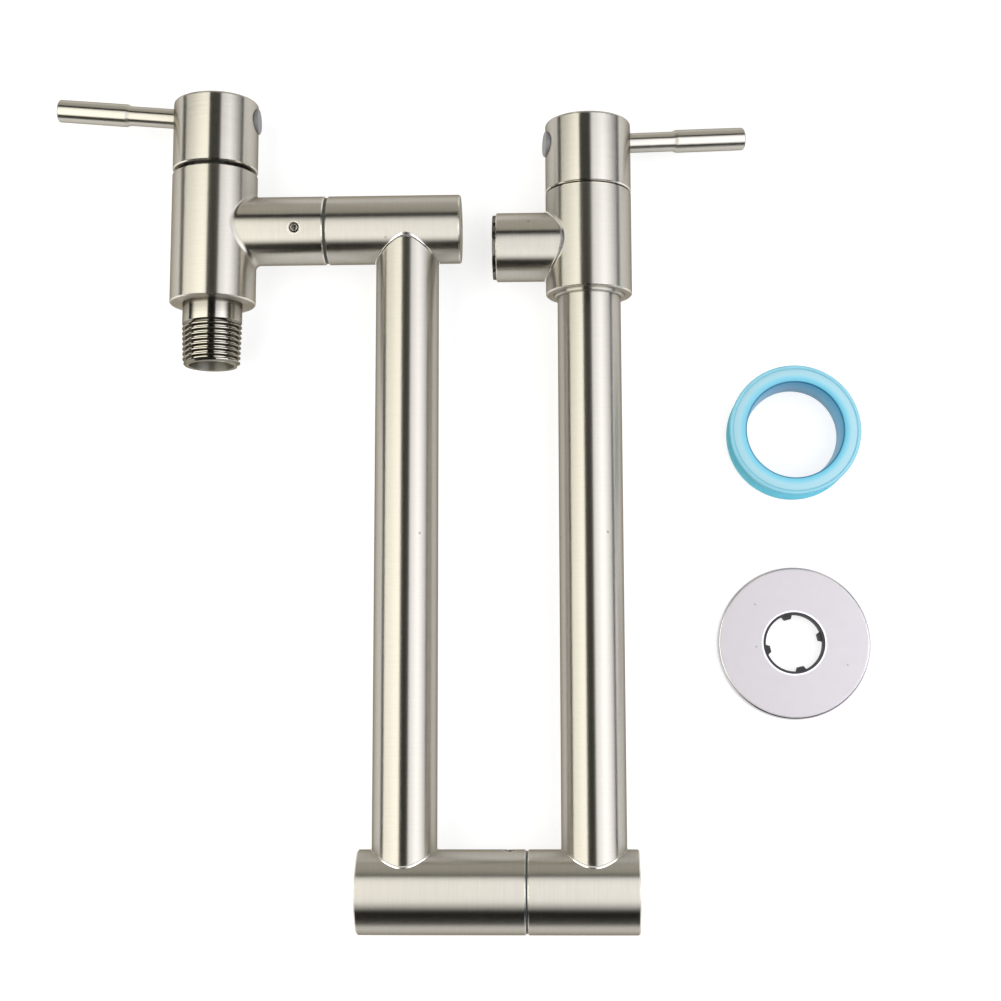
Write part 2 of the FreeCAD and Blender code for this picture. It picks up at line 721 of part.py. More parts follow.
def place_screw(label, x, y, turn, outer_radius):
    """A set screw in a barrel wall, its dog point in the spigot's groove."""
    part = doc.addObject("PartDesign::Body", label)
    part.Label = label
    start = d.groove_radius + d.screw_recess
    thread = d.screw_radius - d.screw_gap
    end = outer_radius - d.screw_recess
    tip = d.spigot_radius - start + d.screw_recess
    turn_solid(part, [
        (0, start), (d.screw_point_radius, start), (d.screw_point_radius, start + tip),
        (thread - d.edge_chamfer, start + tip), (thread, start + tip + d.edge_chamfer),
        (thread, end - d.edge_chamfer), (thread - d.edge_chamfer, end), (0, end),
    ])
    socket = new_sketch(part, "XZ_Plane", origin=(0, 0, -end))
    draw_hexagon(socket, d.socket_across)
    pocket = push(part, socket, "Pocket", d.socket_depth)
    pocket.Reversed = True
    doc.recompute()
    lean = FreeCAD.Rotation(FreeCAD.Vector(1, 0, 0), turn.value)
    part.Placement = FreeCAD.Placement(FreeCAD.Vector(0, 0, 0), lean)
    part.setExpression("Placement.Rotation.Angle", turn.formula)
    bind_base(part, "Placement", (x, y, 0))


make_swivel("shoulder", d.inlet_branch_reach, d.swivel_gap, shoulder_y, d.shoulder_screw_inset,
            shoulder_nose, d.branch_radius, d.branch_radius)
place_screw("shoulder_set_screw", d.inlet_branch_reach - d.shoulder_screw_inset, shoulder_y,
            d.shoulder_screw_angle, d.branch_radius)
make_swivel("elbow", elbow_face_x, d.elbow_gap, elbow_y, d.elbow_screw_inset, elbow_nose,
            d.elbow_radius, d.elbow_radius)
place_screw("elbow_set_screw", elbow_face_x - d.elbow_screw_inset, elbow_y, d.elbow_screw_angle,
            d.elbow_radius)


# Barrels: thick tubes across the arms, closed by end plates. Each has a round port in its side
# where an arm tube is welded on.
tube_bore = d.arm_tube_radius - d.arm_tube_wall


def make_barrel(label, x, y, length, radius, tube_place, tube_side, socket_length=None):
    """A barrel from x on, open for its spigot, with a port towards the arm tube."""
    part = new_part(label, (x, y, 0))
    inner = radius - d.barrel_wall
    points = [
        (0, inner), (0, radius - d.edge_chamfer), (d.edge_chamfer, radius),
        (length - d.edge_chamfer, radius), (length, radius - d.edge_chamfer),
    ]
    if socket_length is None:
        points += [(length, inner)]
    else:
        points += [(length, spigot_bore), (length - socket_length, spigot_bore)]
        points += [(length - socket_length, inner)]
    turn_solid(part, points, axis="H_Axis")
    reach = tube_side * (radius + d.cut_overrun)
    turn_cut(part, block(0, tube_bore, 0, reach), origin=(tube_place, 0, 0))
    return part


def make_end_plate(label, x, y, radius):
    """A round plate set flush in the open end of a barrel and welded round its edge."""
    part = new_part(label, (x, y, 0))
    turn_solid(part, block(0, d.end_plate, 0, radius - d.barrel_wall - d.screw_gap), axis="H_Axis")


make_barrel("shoulder_barrel", shoulder_x, shoulder_y, d.shoulder_length, d.branch_radius,
            d.shoulder_tube_place, -1)
make_end_plate("shoulder_end_plate", shoulder_x + d.shoulder_length - d.end_plate, shoulder_y,
               d.branch_radius)
inner_barrel = make_barrel("elbow_inner_barrel", elbow_inner_x, elbow_y, d.elbow_inner_length,
                           d.elbow_radius, d.elbow_inner_overhang, 1, elbow_nose + d.spigot_tail)
screw_hole(inner_barrel, d.elbow_inner_length - d.elbow_screw_inset, 0, d.elbow_screw_angle,
           d.spigot_radius - d.cut_overrun, d.elbow_radius)
make_end_plate("elbow_inner_end_plate", elbow_inner_x, elbow_y, d.elbow_radius)
make_barrel("elbow_outer_barrel", elbow_outer_x, elbow_y, elbow_outer_length, d.elbow_radius,
            d.elbow_tube_place, 1)
make_end_plate("elbow_outer_end_plate", elbow_outer_x + elbow_outer_length - d.end_plate,
               elbow_y, d.elbow_radius)


# Arm tubes: thin drawn tube, coped at the barrels, and the weld beads round each coped end.
def cope(part, y, radius):
    """Cut everything that lies inside a barrel across the tube at height y."""
    half = d.arm_tube_radius + d.cut_overrun
    turn_cut(part, block(-half, half, 0, radius), axis="H_Axis", origin=(0, y, 0))


def make_bead(label, place, tube_radius, barrel_radius, side):
    """A weld bead in the seam where a tube along Y stands on one side of a barrel along X."""
    part = new_part(label, place)
    inner = tube_radius + d.fit_gap
    over = side * (barrel_radius + d.cut_overrun)
    turn_solid(part, block(inner, inner + d.weld_rise, 0, over))
    half = tube_radius + d.cut_overrun
    inside = barrel_radius + d.fit_gap
    turn_cut(part, block(-half, half, 0, inside), axis="H_Axis")
    turn_cut(part, block(-half, half, inside + d.weld_width, over * side + barrel_radius),
             axis="H_Axis")


make_bead("shoulder_weld_bead", (inner_tube_x, shoulder_y, 0), d.arm_tube_radius,
          d.branch_radius, -1)
make_bead("elbow_inner_weld_bead", (inner_tube_x, elbow_y, 0), d.arm_tube_radius,
          d.elbow_radius, 1)
make_bead("elbow_outer_weld_bead", (outlet_x, elbow_y, 0), d.arm_tube_radius,
          d.elbow_radius, 1)

part = new_part("inner_arm_tube", (inner_tube_x, 0, 0))
turn_solid(part, block(tube_bore, d.arm_tube_radius, elbow_y, shoulder_y))
cope(part, elbow_y, d.elbow_radius)
cope(part, shoulder_y, d.branch_radius)
part = new_part("outer_arm_tube", (outlet_x, 0, 0))
turn_solid(part, block(tube_bore, d.arm_tube_radius, elbow_y, outlet_y + d.tube_socket_depth))
cope(part, elbow_y, d.elbow_radius)

# Outlet valve body: a bar like the inlet's, slipped over the end of the outer arm tube, with
# the stub for the aerator welded to its side and a turned bead round the tube below it.
outlet_top = d.outlet_body_height
part = new_part("outlet_valve_body", (outlet_x, outlet_y, 0))
turn_solid(part, [
    (0, 0), (d.valve_radius - d.edge_chamfer, 0), (d.valve_radius, d.edge_chamfer),
    (d.valve_radius, outlet_top - d.edge_chamfer),
    (d.valve_radius - d.edge_chamfer, outlet_top), (0, outlet_top),
])
turn_solid(part, block(-d.outlet_stub_reach, 0, 0, d.branch_radius), axis="H_Axis",
           origin=(0, d.outlet_stub_height, 0))
round_edges(part, d.edge_chamfer,
            lambda edge: is_ring(edge, "x", -d.outlet_stub_reach, d.branch_radius), "Chamfer")
chamber_cut(part, outlet_top, 0)
turn_cut(part, block(0, d.arm_tube_radius + d.screw_gap, -d.cut_overrun,
                     d.tube_socket_depth + d.face_gap))
turn_cut(part, block(-d.outlet_stub_reach - d.cut_overrun, -d.outlet_stub_reach + d.aerator_depth,
                     0, d.aerator_thread_radius), axis="H_Axis",
         origin=(0, d.outlet_stub_height, 0))
turn_cut(part, block(-d.outlet_stub_reach, 0, 0, d.port_radius), axis="H_Axis",
         origin=(0, d.outlet_stub_height, 0))
part = new_part("outlet_stub_weld_bead", (outlet_x, outlet_y + d.outlet_stub_height, 0))
stub_bead = d.branch_radius + d.fit_gap
bead_seat = d.valve_radius + d.fit_gap
bead_half = d.branch_radius + d.cut_overrun
turn_solid(part, block(-d.valve_radius - d.cut_overrun, 0, stub_bead, stub_bead + d.stub_weld_rise),
           axis="H_Axis")
turn_cut(part, block(0, bead_seat, -bead_half, bead_half))
turn_cut(part, block(bead_seat + d.stub_weld_width, d.valve_radius * 2, -bead_half, bead_half))
part = new_part("outlet_collar_bead", (outlet_x, outlet_y, 0))
bead_inner = d.arm_tube_radius + d.screw_gap
turn_solid(part, [
    (bead_inner, -d.collar_bead_height), (d.collar_bead_radius - d.edge_chamfer, -d.collar_bead_height),
    (d.collar_bead_radius, d.edge_chamfer - d.collar_bead_height), (d.collar_bead_radius, 0),
    (bead_inner, 0),
])
make_cartridge("outlet", outlet_x, outlet_y + outlet_top)
make_handle("outlet", outlet_x, outlet_y + outlet_top, d.outlet_cap_gap, d.outlet_handle_angle,
            d.outlet_lever_height, d.outlet_plug_height)

# Aerator: a notched ring screwed into the stub, a spray insert held in it, and its washer.
aerator_place = (outlet_x - d.outlet_stub_reach, outlet_y + d.outlet_stub_height, 0)
aerator_outer = d.aerator_thread_radius - d.screw_gap
aerator_inner = aerator_outer - d.aerator_wall
washer_start = d.aerator_depth - d.aerator_washer_height
part = new_part("aerator_housing", aerator_place)
turn_solid(part, [
    (-d.aerator_rim_height, d.aerator_floor_bore), (-d.aerator_rim_height, d.aerator_rim_radius),
    (-d.face_gap, d.aerator_rim_radius), (-d.face_gap, aerator_outer),
    (washer_start, aerator_outer), (washer_start, aerator_inner),
    (d.aerator_floor, aerator_inner), (d.aerator_floor, d.aerator_floor_bore),
], axis="H_Axis")
notch = new_sketch(part, "YZ_Plane", origin=(0, 0, -d.aerator_rim_height))
notch_half = d.aerator_notch_width / 2
notch_floor = d.aerator_rim_radius - d.aerator_notch_width
draw_polygon(notch, block(notch_floor, d.aerator_rim_radius + d.cut_overrun, -notch_half, notch_half))
notch_cut = push(part, notch, "Pocket", d.aerator_rim_height - d.face_gap)
notch_cut.Reversed = True
doc.recompute()
polar(part, notch_cut, (notch, ["N_Axis"]), d.aerator_notch_count)
part = new_part("aerator_insert", aerator_place)
insert_start = d.aerator_floor + d.face_gap
turn_solid(part, block(insert_start, insert_start + d.aerator_insert_height, 0,
                       aerator_inner - d.fit_gap), axis="H_Axis")
spray = new_sketch(part, "YZ_Plane")
draw_circle(spray, (d.spray_ring_radius, 0), d.spray_hole_radius)
spray_cut = push(part, spray, "Pocket", (insert_start + d.aerator_insert_height) * 3, both=True)
polar(part, spray_cut, (spray, ["N_Axis"]), d.spray_hole_count)
part = new_part("aerator_washer", aerator_place)
turn_solid(part, block(washer_start + d.face_gap, d.aerator_depth, aerator_inner - d.aerator_wall,
                       aerator_outer), axis="H_Axis")

# Escutcheon: a pressed round cover that hides the hole in the wall, with a black ring in its
# centre whose four nubs grip the neck. It lies face up on the table.
part = new_part("escutcheon_plate", (d.escutcheon_x, d.escutcheon_y, table_z))
turned_up = {"role": "XZ_Plane"}
under = d.escutcheon_height - d.escutcheon_sheet
turn_solid(part, [
    (d.escutcheon_radius - d.escutcheon_sheet, 0), (d.escutcheon_radius, 0),
    (d.escutcheon_radius, d.escutcheon_height), (d.escutcheon_hole_radius, d.escutcheon_height),
    (d.escutcheon_hole_radius, under), (d.escutcheon_radius - d.escutcheon_sheet, under),
], **turned_up)
round_edges(part, d.escutcheon_edge_round,
            lambda edge: is_ring(edge, "z", d.escutcheon_height, d.escutcheon_radius))
part = new_part("escutcheon_grip_ring", (d.escutcheon_x, d.escutcheon_y, table_z))
grip_outer = d.escutcheon_hole_radius - d.fit_gap
grip_inner = grip_outer - d.grip_wall
grip_low = d.escutcheon_height - d.grip_height
lip = grip_outer + d.grip_wall * 2
turn_solid(part, [
    (grip_inner, grip_low), (lip, grip_low), (lip, under - d.face_gap),
    (grip_outer, under - d.face_gap), (grip_outer, d.escutcheon_height - d.face_gap),
    (grip_inner, d.escutcheon_height - d.face_gap),
], **turned_up)
nub = new_sketch(part, "XY_Plane", origin=(0, 0, grip_low), spin=d.grip_first_nub_angle)
draw_polygon(nub, [
    (d.grip_nub_reach, -d.grip_nub_radius / 2), (grip_outer - d.fit_gap, -d.grip_nub_radius),
    (grip_outer - d.fit_gap, d.grip_nub_radius), (d.grip_nub_reach, d.grip_nub_radius / 2),
])
nub_pad = push(part, nub, "Pad", d.grip_height - d.grip_wall)
polar(part, nub_pad, (nub, ["N_Axis"]), as_size(4))

# Roll of thread-sealing tape: a clear blue spool with two flanges, and the tape wound on it.
part = new_part("thread_tape_spool", (d.tape_x, d.tape_y, table_z))
core = d.spool_bore_radius + d.spool_wall
upper = d.spool_height - d.spool_flange
turn_solid(part, [
    (d.spool_bore_radius, 0), (d.spool_radius - d.spool_lip, 0), (d.spool_radius, d.spool_lip),
    (d.spool_radius, d.spool_flange), (core, d.spool_flange), (core, upper),
    (d.spool_radius, upper), (d.spool_radius, d.spool_height - d.spool_lip),
    (d.spool_radius - d.spool_lip, d.spool_height), (d.spool_bore_radius, d.spool_height),
], **turned_up)
part = new_part("thread_tape_roll", (d.tape_x, d.tape_y, table_z))
turn_solid(part, block(core + d.fit_gap, d.tape_roll_radius, d.spool_flange + d.face_gap,
                       upper - d.face_gap), **turned_up)

doc.recompute()
finished = [item for item in doc.Objects if item.TypeId == "PartDesign::Body"]
for item in doc.Objects:
    if "Invalid" in item.State or "Error" in item.State:
        raise RuntimeError(f"{item.Name} did not compute: {item.State}")
for item in finished:
    if item.Shape.isNull() or not item.Shape.isValid() or item.Shape.Volume <= 0:
        raise RuntimeError(f"{item.Label} has no valid shape")
for item in finished:
    item.Shape.exportStep(f"parts/{item.Label}.step")
    print(item.Label, len(item.Shape.Solids), round(item.Shape.Volume, 2))
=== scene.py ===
import math

import bmesh
import bpy
from mathutils import Euler, Matrix, Vector


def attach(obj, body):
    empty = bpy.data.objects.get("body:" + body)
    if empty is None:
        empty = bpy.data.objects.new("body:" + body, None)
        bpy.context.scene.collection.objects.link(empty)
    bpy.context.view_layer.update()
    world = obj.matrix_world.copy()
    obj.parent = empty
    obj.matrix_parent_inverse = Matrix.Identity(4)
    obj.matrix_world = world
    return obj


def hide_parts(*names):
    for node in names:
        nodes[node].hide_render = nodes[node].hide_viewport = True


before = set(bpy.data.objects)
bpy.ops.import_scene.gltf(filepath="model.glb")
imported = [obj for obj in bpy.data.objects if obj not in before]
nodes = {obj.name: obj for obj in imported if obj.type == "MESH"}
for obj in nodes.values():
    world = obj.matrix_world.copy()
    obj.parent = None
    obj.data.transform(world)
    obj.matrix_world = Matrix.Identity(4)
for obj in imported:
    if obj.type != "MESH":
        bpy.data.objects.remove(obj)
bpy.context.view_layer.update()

MM = 0.001

# Camera. The photograph's own viewpoint, solved from the outlines of the valves, barrels and
# tubes, with the faucet in its real size.
CAMERA_PLACE = (122.85 * MM, -154.46 * MM, 595.9 * MM)
CAMERA_PITCH, CAMERA_YAW, CAMERA_ROLL = 0.1401, 0.0371, -0.0073
SENSOR_WIDTH = 36.0
FOCAL_SHARE = 1751.4 / 1001
camera_data = bpy.data.cameras.new("viewpoint")
camera_data.sensor_width = SENSOR_WIDTH
camera_data.lens = FOCAL_SHARE * SENSOR_WIDTH
camera = bpy.data.objects.new("viewpoint", camera_data)
bpy.context.scene.collection.objects.link(camera)
camera.matrix_world = (
    Matrix.Translation(CAMERA_PLACE)
    @ Matrix.Rotation(CAMERA_ROLL, 4, "Z")
    @ Matrix.Rotation(CAMERA_PITCH, 4, "X")
    @ Matrix.Rotation(CAMERA_YAW, 4, "Y")
)
bpy.context.scene.camera = camera
bpy.context.scene.view_settings.view_transform = "Standard"


# Inlet valve body. A machined stainless bar, satin brushed round its own axis, with the branch
# that carries the arms welded to its side and ground to a soft blend.
INLET_BRANCH_Y = 26.2 * MM
BRANCH_RADIUS = 12.0 * MM
STEEL = (0.585, 0.558, 0.505)
EDGE_TINT = (0.42, 0.385, 0.325)
UP, ACROSS = (0, 1, 0), (1, 0, 0)


def add(tree, kind, **settings):
    """A shader node of one kind, with its settings."""
    made = tree.nodes.new("ShaderNode" + kind)
    for name, value in settings.items():
        setattr(made, name, value)
    return made


def calculate(tree, operation, *inputs, clamp=False):
    """A Math node on sockets or plain numbers."""
    made = add(tree, "Math", operation=operation, use_clamp=clamp)
    for socket, value in zip(made.inputs, inputs):
        if isinstance(value, bpy.types.NodeSocket):
            tree.links.new(value, socket)
        else:
            socket.default_value = value
    return made.outputs[0]


def combine(tree, operation, *inputs):
    """A Vector Math node on sockets or plain vectors."""
    made = add(tree, "VectorMath", operation=operation)
    for socket, value in zip(made.inputs, inputs):
        if isinstance(value, bpy.types.NodeSocket):
            tree.links.new(value, socket)
        else:
            socket.default_value = value
    return made.outputs["Value"] if operation in ("DOT_PRODUCT", "LENGTH") else made.outputs[0]


def ramp(tree, value, low, high):
    """The share of the way from low to high, smoothed and held between 0 and 1."""
    made = add(tree, "MapRange", interpolation_type="SMOOTHSTEP")
    tree.links.new(value, made.inputs["Value"])
    made.inputs["From Min"].default_value = low
    made.inputs["From Max"].default_value = high
    return made.outputs["Result"]


def mix_colours(tree, share, first, second):
    """A colour Mix node on sockets or plain colours."""
    made = add(tree, "Mix", data_type="RGBA")
    sockets = (made.inputs[0], made.inputs[6], made.inputs[7])
    for socket, value in zip(sockets, (share, first, second)):
        if isinstance(value, bpy.types.NodeSocket):
            tree.links.new(value, socket)
        elif isinstance(value, (int, float)):
            socket.default_value = value
        else:
            socket.default_value = (*value, 1)
    return made.outputs[2]


def make_group(name, inputs, outputs):
    """An empty shader group with its float or vector sockets, and its two end nodes."""
    group = bpy.data.node_groups.new(name, "ShaderNodeTree")
    for label, kind, value in inputs:
        socket = group.interface.new_socket(label, in_out="INPUT", socket_type="NodeSocket" + kind)
        if value is not None:
            socket.default_value = value
    for label, kind in outputs:
        group.interface.new_socket(label, in_out="OUTPUT", socket_type="NodeSocket" + kind)
    return group, group.nodes.new("NodeGroupInput"), group.nodes.new("NodeGroupOutput")


# The shared effect of turning and brushing: fine lines that run round the axis on walls and
# faces alike, broad uneven patches from the hand polish, and scattered pits.
LINE_SWEEP = 1.6
PATCHES_PER_METRE = 45.0
PIT_CORE, PIT_EDGE = 0.04, 0.13
turned_finish, group_in, group_out = make_group(
    "turned_finish",
    [("Place", "Vector", None), ("Lines per Metre", "Float", 1500.0),
     ("Pits per Metre", "Float", 190.0), ("Pit Share", "Float", 0.05)],
    [("Lines", "Float"), ("Patches", "Float"), ("Pits", "Float")],
)
parts = add(turned_finish, "SeparateXYZ")
turned_finish.links.new(group_in.outputs["Place"], parts.inputs[0])
flat = add(turned_finish, "CombineXYZ")
turned_finish.links.new(parts.outputs[0], flat.inputs[0])
turned_finish.links.new(parts.outputs[1], flat.inputs[1])
reach = combine(turned_finish, "LENGTH", flat.outputs[0])
around = add(turned_finish, "SeparateXYZ")
turned_finish.links.new(combine(turned_finish, "NORMALIZE", flat.outputs[0]), around.inputs[0])
track = calculate(turned_finish, "ADD", parts.outputs[2], reach)
groove = add(turned_finish, "CombineXYZ")
turned_finish.links.new(
    calculate(turned_finish, "MULTIPLY", track, group_in.outputs["Lines per Metre"]),
    groove.inputs[0]
)
for index in (0, 1):
    turned_finish.links.new(
        calculate(turned_finish, "MULTIPLY", around.outputs[index], LINE_SWEEP),
        groove.inputs[index + 1]
    )
lines = add(turned_finish, "TexNoise")
lines.inputs["Scale"].default_value = 1.0
lines.inputs["Detail"].default_value = 4.0
lines.inputs["Roughness"].default_value = 0.65
turned_finish.links.new(groove.outputs[0], lines.inputs["Vector"])
patches = add(turned_finish, "TexNoise")
patches.inputs["Scale"].default_value = PATCHES_PER_METRE
patches.inputs["Detail"].default_value = 3.0
turned_finish.links.new(group_in.outputs["Place"], patches.inputs["Vector"])
cells = add(turned_finish, "TexVoronoi")
turned_finish.links.new(group_in.outputs["Place"], cells.inputs["Vector"])
turned_finish.links.new(group_in.outputs["Pits per Metre"], cells.inputs["Scale"])
draw = add(turned_finish, "SeparateColor")
turned_finish.links.new(cells.outputs["Color"], draw.inputs[0])
chosen = calculate(turned_finish, "LESS_THAN", draw.outputs[0], group_in.outputs["Pit Share"])
near = calculate(turned_finish, "SUBTRACT", 1.0, ramp(
    turned_finish, cells.outputs["Distance"], PIT_CORE, PIT_EDGE))
turned_finish.links.new(lines.outputs["Fac"], group_out.inputs["Lines"])
turned_finish.links.new(patches.outputs["Fac"], group_out.inputs["Patches"])
turned_finish.links.new(
    calculate(turned_finish, "MULTIPLY", near, chosen), group_out.inputs["Pits"])


def turned_about(tree, place, facing, middle, axis, lines_per_metre, pit_share):
    """The finish group laid round one axis, and the direction across its lines."""
    turn = Vector(axis).normalized().rotation_difference(Vector((0, 0, 1)))
    mapping = add(tree, "Mapping")
    mapping.inputs["Rotation"].default_value = turn.to_euler()
    mapping.inputs["Location"].default_value = -(turn.to_matrix() @ Vector(middle))
    tree.links.new(place, mapping.inputs["Vector"])
    finish = add(tree, "Group")
    finish.node_tree = turned_finish
    finish.inputs["Lines per Metre"].default_value = lines_per_metre
    finish.inputs["Pit Share"].default_value = pit_share
    tree.links.new(mapping.outputs[0], finish.inputs["Place"])
    run = combine(tree, "CROSS_PRODUCT", axis, combine(tree, "SUBTRACT", place, middle))
    return finish, combine(tree, "NORMALIZE", combine(tree, "CROSS_PRODUCT", run, facing))


PATCH_SHARE, PATCH_SHADE = 0.08, 0.72
PIT_DARKNESS, PIT_SHADE = 0.7, 0.35
BRANCH_SEAM, BRANCH_BLEND, BRANCH_START_BLEND = 0.1 * MM, 1.2 * MM, 0.5 * MM
END_CORE, END_EDGE = 0.35 * MM, 0.5 * MM
RIM_CORE, RIM_EDGE = 0.15 * MM, 0.3 * MM
# How much the colour is brightened at edges as a painted highlight, and the lower roughness of real
# wear there.
EDGE_HIGHLIGHT_GAIN, WORN_ROUGHNESS = 1.5, -0.12
SLANT_FACE, SLANT_EDGE = 0.95, 0.8
SCRATCH_DEPTH = 0.02 * MM


def brushed_steel(name, middle, axis, second=None, colour=STEEL, roughness=0.38, grain=0.035,
                  lines_per_metre=2600.0, pit_share=0.05, stretch=1.0, relief=0.03, ends=(),
                  rims=()):
    """Satin steel brushed round an axis; second is a branch's middle, axis, radius and start.
    Ends are the planes, as axis and distance, whose edges get a painted highlight and the lower
    roughness of real wear, and rims the holes whose edges get the same, as middle, axis and
    radius."""
    material = bpy.data.materials.new(name)
    material.use_nodes = True
    tree = material.node_tree
    shader = tree.nodes["Principled BSDF"]
    spot = add(tree, "TexCoord")
    place, facing = spot.outputs["Object"], spot.outputs["Normal"]
    finish, across = turned_about(tree, place, facing, middle, axis, lines_per_metre, pit_share)
    tone, pits = finish.outputs["Lines"], finish.outputs["Pits"]
    if second is not None:
        branch_middle, branch_axis, branch_radius, branch_start = second
        other, other_across = turned_about(tree, place, facing, branch_middle, branch_axis,
                                           lines_per_metre, pit_share)
        from_middle = combine(tree, "SUBTRACT", place, branch_middle)
        cut = add(tree, "SeparateXYZ")
        tree.links.new(from_middle, cut.inputs[0])
        off_axis = add(tree, "CombineXYZ")
        tree.links.new(cut.outputs[1], off_axis.inputs[1])
        tree.links.new(cut.outputs[2], off_axis.inputs[2])
        close = calculate(tree, "SUBTRACT", 1.0, ramp(
            tree, combine(tree, "LENGTH", off_axis.outputs[0]), branch_radius + BRANCH_SEAM,
            branch_radius + BRANCH_BLEND))
        outside = ramp(tree, combine(tree, "DOT_PRODUCT", from_middle, branch_axis),
                       branch_start, branch_start + BRANCH_START_BLEND)
        on_branch = calculate(tree, "MULTIPLY", close, outside)
        swap = add(tree, "Mix", data_type="VECTOR")
        tree.links.new(on_branch, swap.inputs[0])
        tree.links.new(across, swap.inputs[4])
        tree.links.new(other_across, swap.inputs[5])
        across = swap.outputs[1]
        blend = add(tree, "Mix", data_type="FLOAT")
        tree.links.new(on_branch, blend.inputs[0])
        tree.links.new(tone, blend.inputs[2])
        tree.links.new(other.outputs["Lines"], blend.inputs[3])
        tone = blend.outputs[0]
    turn = add(tree, "VectorTransform", vector_type="NORMAL", convert_from="OBJECT",
               convert_to="WORLD")
    tree.links.new(across, turn.inputs[0])
    tree.links.new(turn.outputs[0], shader.inputs["Tangent"])
    dark = tuple(c * (1 - grain) for c in colour)
    light = tuple(min(c * (1 + grain), 1) for c in colour)
    brushed = mix_colours(tree, ramp(tree, tone, 0.3, 0.7), dark, light)
    patch = calculate(tree, "MULTIPLY", finish.outputs["Patches"], PATCH_SHARE)
    patched = mix_colours(tree, patch, brushed, tuple(c * PATCH_SHADE for c in colour))
    pitted = mix_colours(tree, calculate(tree, "MULTIPLY", pits, PIT_DARKNESS), patched,
                         tuple(c * PIT_SHADE for c in colour))
    rough = calculate(tree, "MULTIPLY_ADD", tone, 0.06, roughness - 0.03)
    # Painted highlight: near the given ends and hole rims the colour is brightened, while the lower
    # roughness there is real polish from wear.
    if ends or rims:
        wear_and_highlight = 0.0
        for hole, line, radius in rims:
            from_hole = combine(tree, "SUBTRACT", place, hole)
            off = combine(tree, "LENGTH", combine(tree, "CROSS_PRODUCT", from_hole, line))
            edge = calculate(tree, "ABSOLUTE", calculate(tree, "SUBTRACT", off, radius))
            edge = calculate(tree, "SUBTRACT", 1.0, ramp(tree, edge, RIM_CORE, RIM_EDGE))
            outside = calculate(tree, "GREATER_THAN", combine(
                tree, "DOT_PRODUCT", from_hole, line), radius * 2)
            wear_and_highlight = calculate(tree, "MAXIMUM", calculate(tree, "MULTIPLY", edge, outside), wear_and_highlight)
        for line, end in ends:
            along = combine(tree, "DOT_PRODUCT", place, line)
            off = calculate(tree, "ABSOLUTE", calculate(tree, "SUBTRACT", along, end))
            near_end = calculate(tree, "SUBTRACT", 1.0, ramp(tree, off, END_CORE, END_EDGE))
            square = calculate(tree, "ABSOLUTE", combine(tree, "DOT_PRODUCT", facing, line))
            slanted = calculate(tree, "SUBTRACT", 1.0, ramp(tree, square, SLANT_EDGE, SLANT_FACE))
            near_end = calculate(tree, "MULTIPLY", near_end, slanted)
            wear_and_highlight = calculate(tree, "MAXIMUM", near_end, wear_and_highlight)
        bright = tuple(min(c * EDGE_HIGHLIGHT_GAIN, 1) for c in colour)
        pitted = mix_colours(tree, wear_and_highlight, pitted, bright)
        rough = calculate(tree, "MULTIPLY_ADD", wear_and_highlight, WORN_ROUGHNESS, rough)
    tree.links.new(pitted, shader.inputs["Base Color"])
    tree.links.new(rough, shader.inputs["Roughness"])
    shader.inputs["Metallic"].default_value = 1.0
    shader.inputs["Specular Tint"].default_value = (*EDGE_TINT, 1)
    shader.inputs["Anisotropic"].default_value = stretch
    bump = add(tree, "Bump")
    bump.inputs["Strength"].default_value = relief
    bump.inputs["Distance"].default_value = SCRATCH_DEPTH
    tree.links.new(tone, bump.inputs["Height"])
    tree.links.new(bump.outputs[0], shader.inputs["Normal"])
    return material


def finish_node(name, material):
    """Give a carried-over solid its own material."""
    slots = nodes[name].data.materials
    slots.clear()
    slots.append(material)


BRANCH_START = 6.0 * MM
INLET_BODY_HEAD, INLET_BRANCH_END = 46.6 * MM, 39.8 * MM
SHOULDER_SCREW_LINE = ((30.1 * MM, INLET_BRANCH_Y, 0), (0, -0.1736, 0.9848))
SCREW_HOLE_RADIUS = 2.15 * MM
finish_node("inlet_valve_body", brushed_steel(
    "inlet_body_steel", (0, 0, 0), UP,
    ((0, INLET_BRANCH_Y, 0), ACROSS, BRANCH_RADIUS, BRANCH_START), roughness=0.32, relief=0.02,
    ends=((UP, INLET_BODY_HEAD), (ACROSS, INLET_BRANCH_END), (UP, 0)),
    rims=((*SHOULDER_SCREW_LINE, SCREW_HOLE_RADIUS),)))

# Nipple. Stainless bar, turned and threaded on the lathe with a helical taper pipe thread that
# runs out at the plain neck, then pressed into the body's socket and left bright.
NECK_RADIUS, NECK_FOOT, NECK_HEAD = 10.4 * MM, -6.4 * MM, -0.05 * MM
SEAT_RADIUS, SEAT_HEAD, BORE_RADIUS = 9.6 * MM, 8.0 * MM, 7.8 * MM
THREAD_PITCH, THREAD_DEPTH, THREAD_END = 1.814 * MM, 1.162 * MM, -22.0 * MM
THREAD_RADIUS, THREAD_TAPER, MOUTH_CHAMFER = 10.4775 * MM, 1 / 32, 0.7 * MM
THREAD_STEPS = 96
FLANK_HEAD, FLANK_FOOT = 0.08, 0.42
RUNOUT_TURNS = 1.3
# How far the thread flanks are darkened as painted shade, and towards what colour.
FLANK_SHADE_SHARE, FLANK_SHADE_COLOUR = 0.5, (0.07, 0.06, 0.05)
BORE_ROUGHNESS = 0.22


def draw_line(form, points):
    """Vertices in the plane of X and Y, joined by edges in their order."""
    corners = [form.verts.new((x, y, 0)) for x, y in points]
    return corners + [form.edges.new(pair) for pair in zip(corners, corners[1:])]


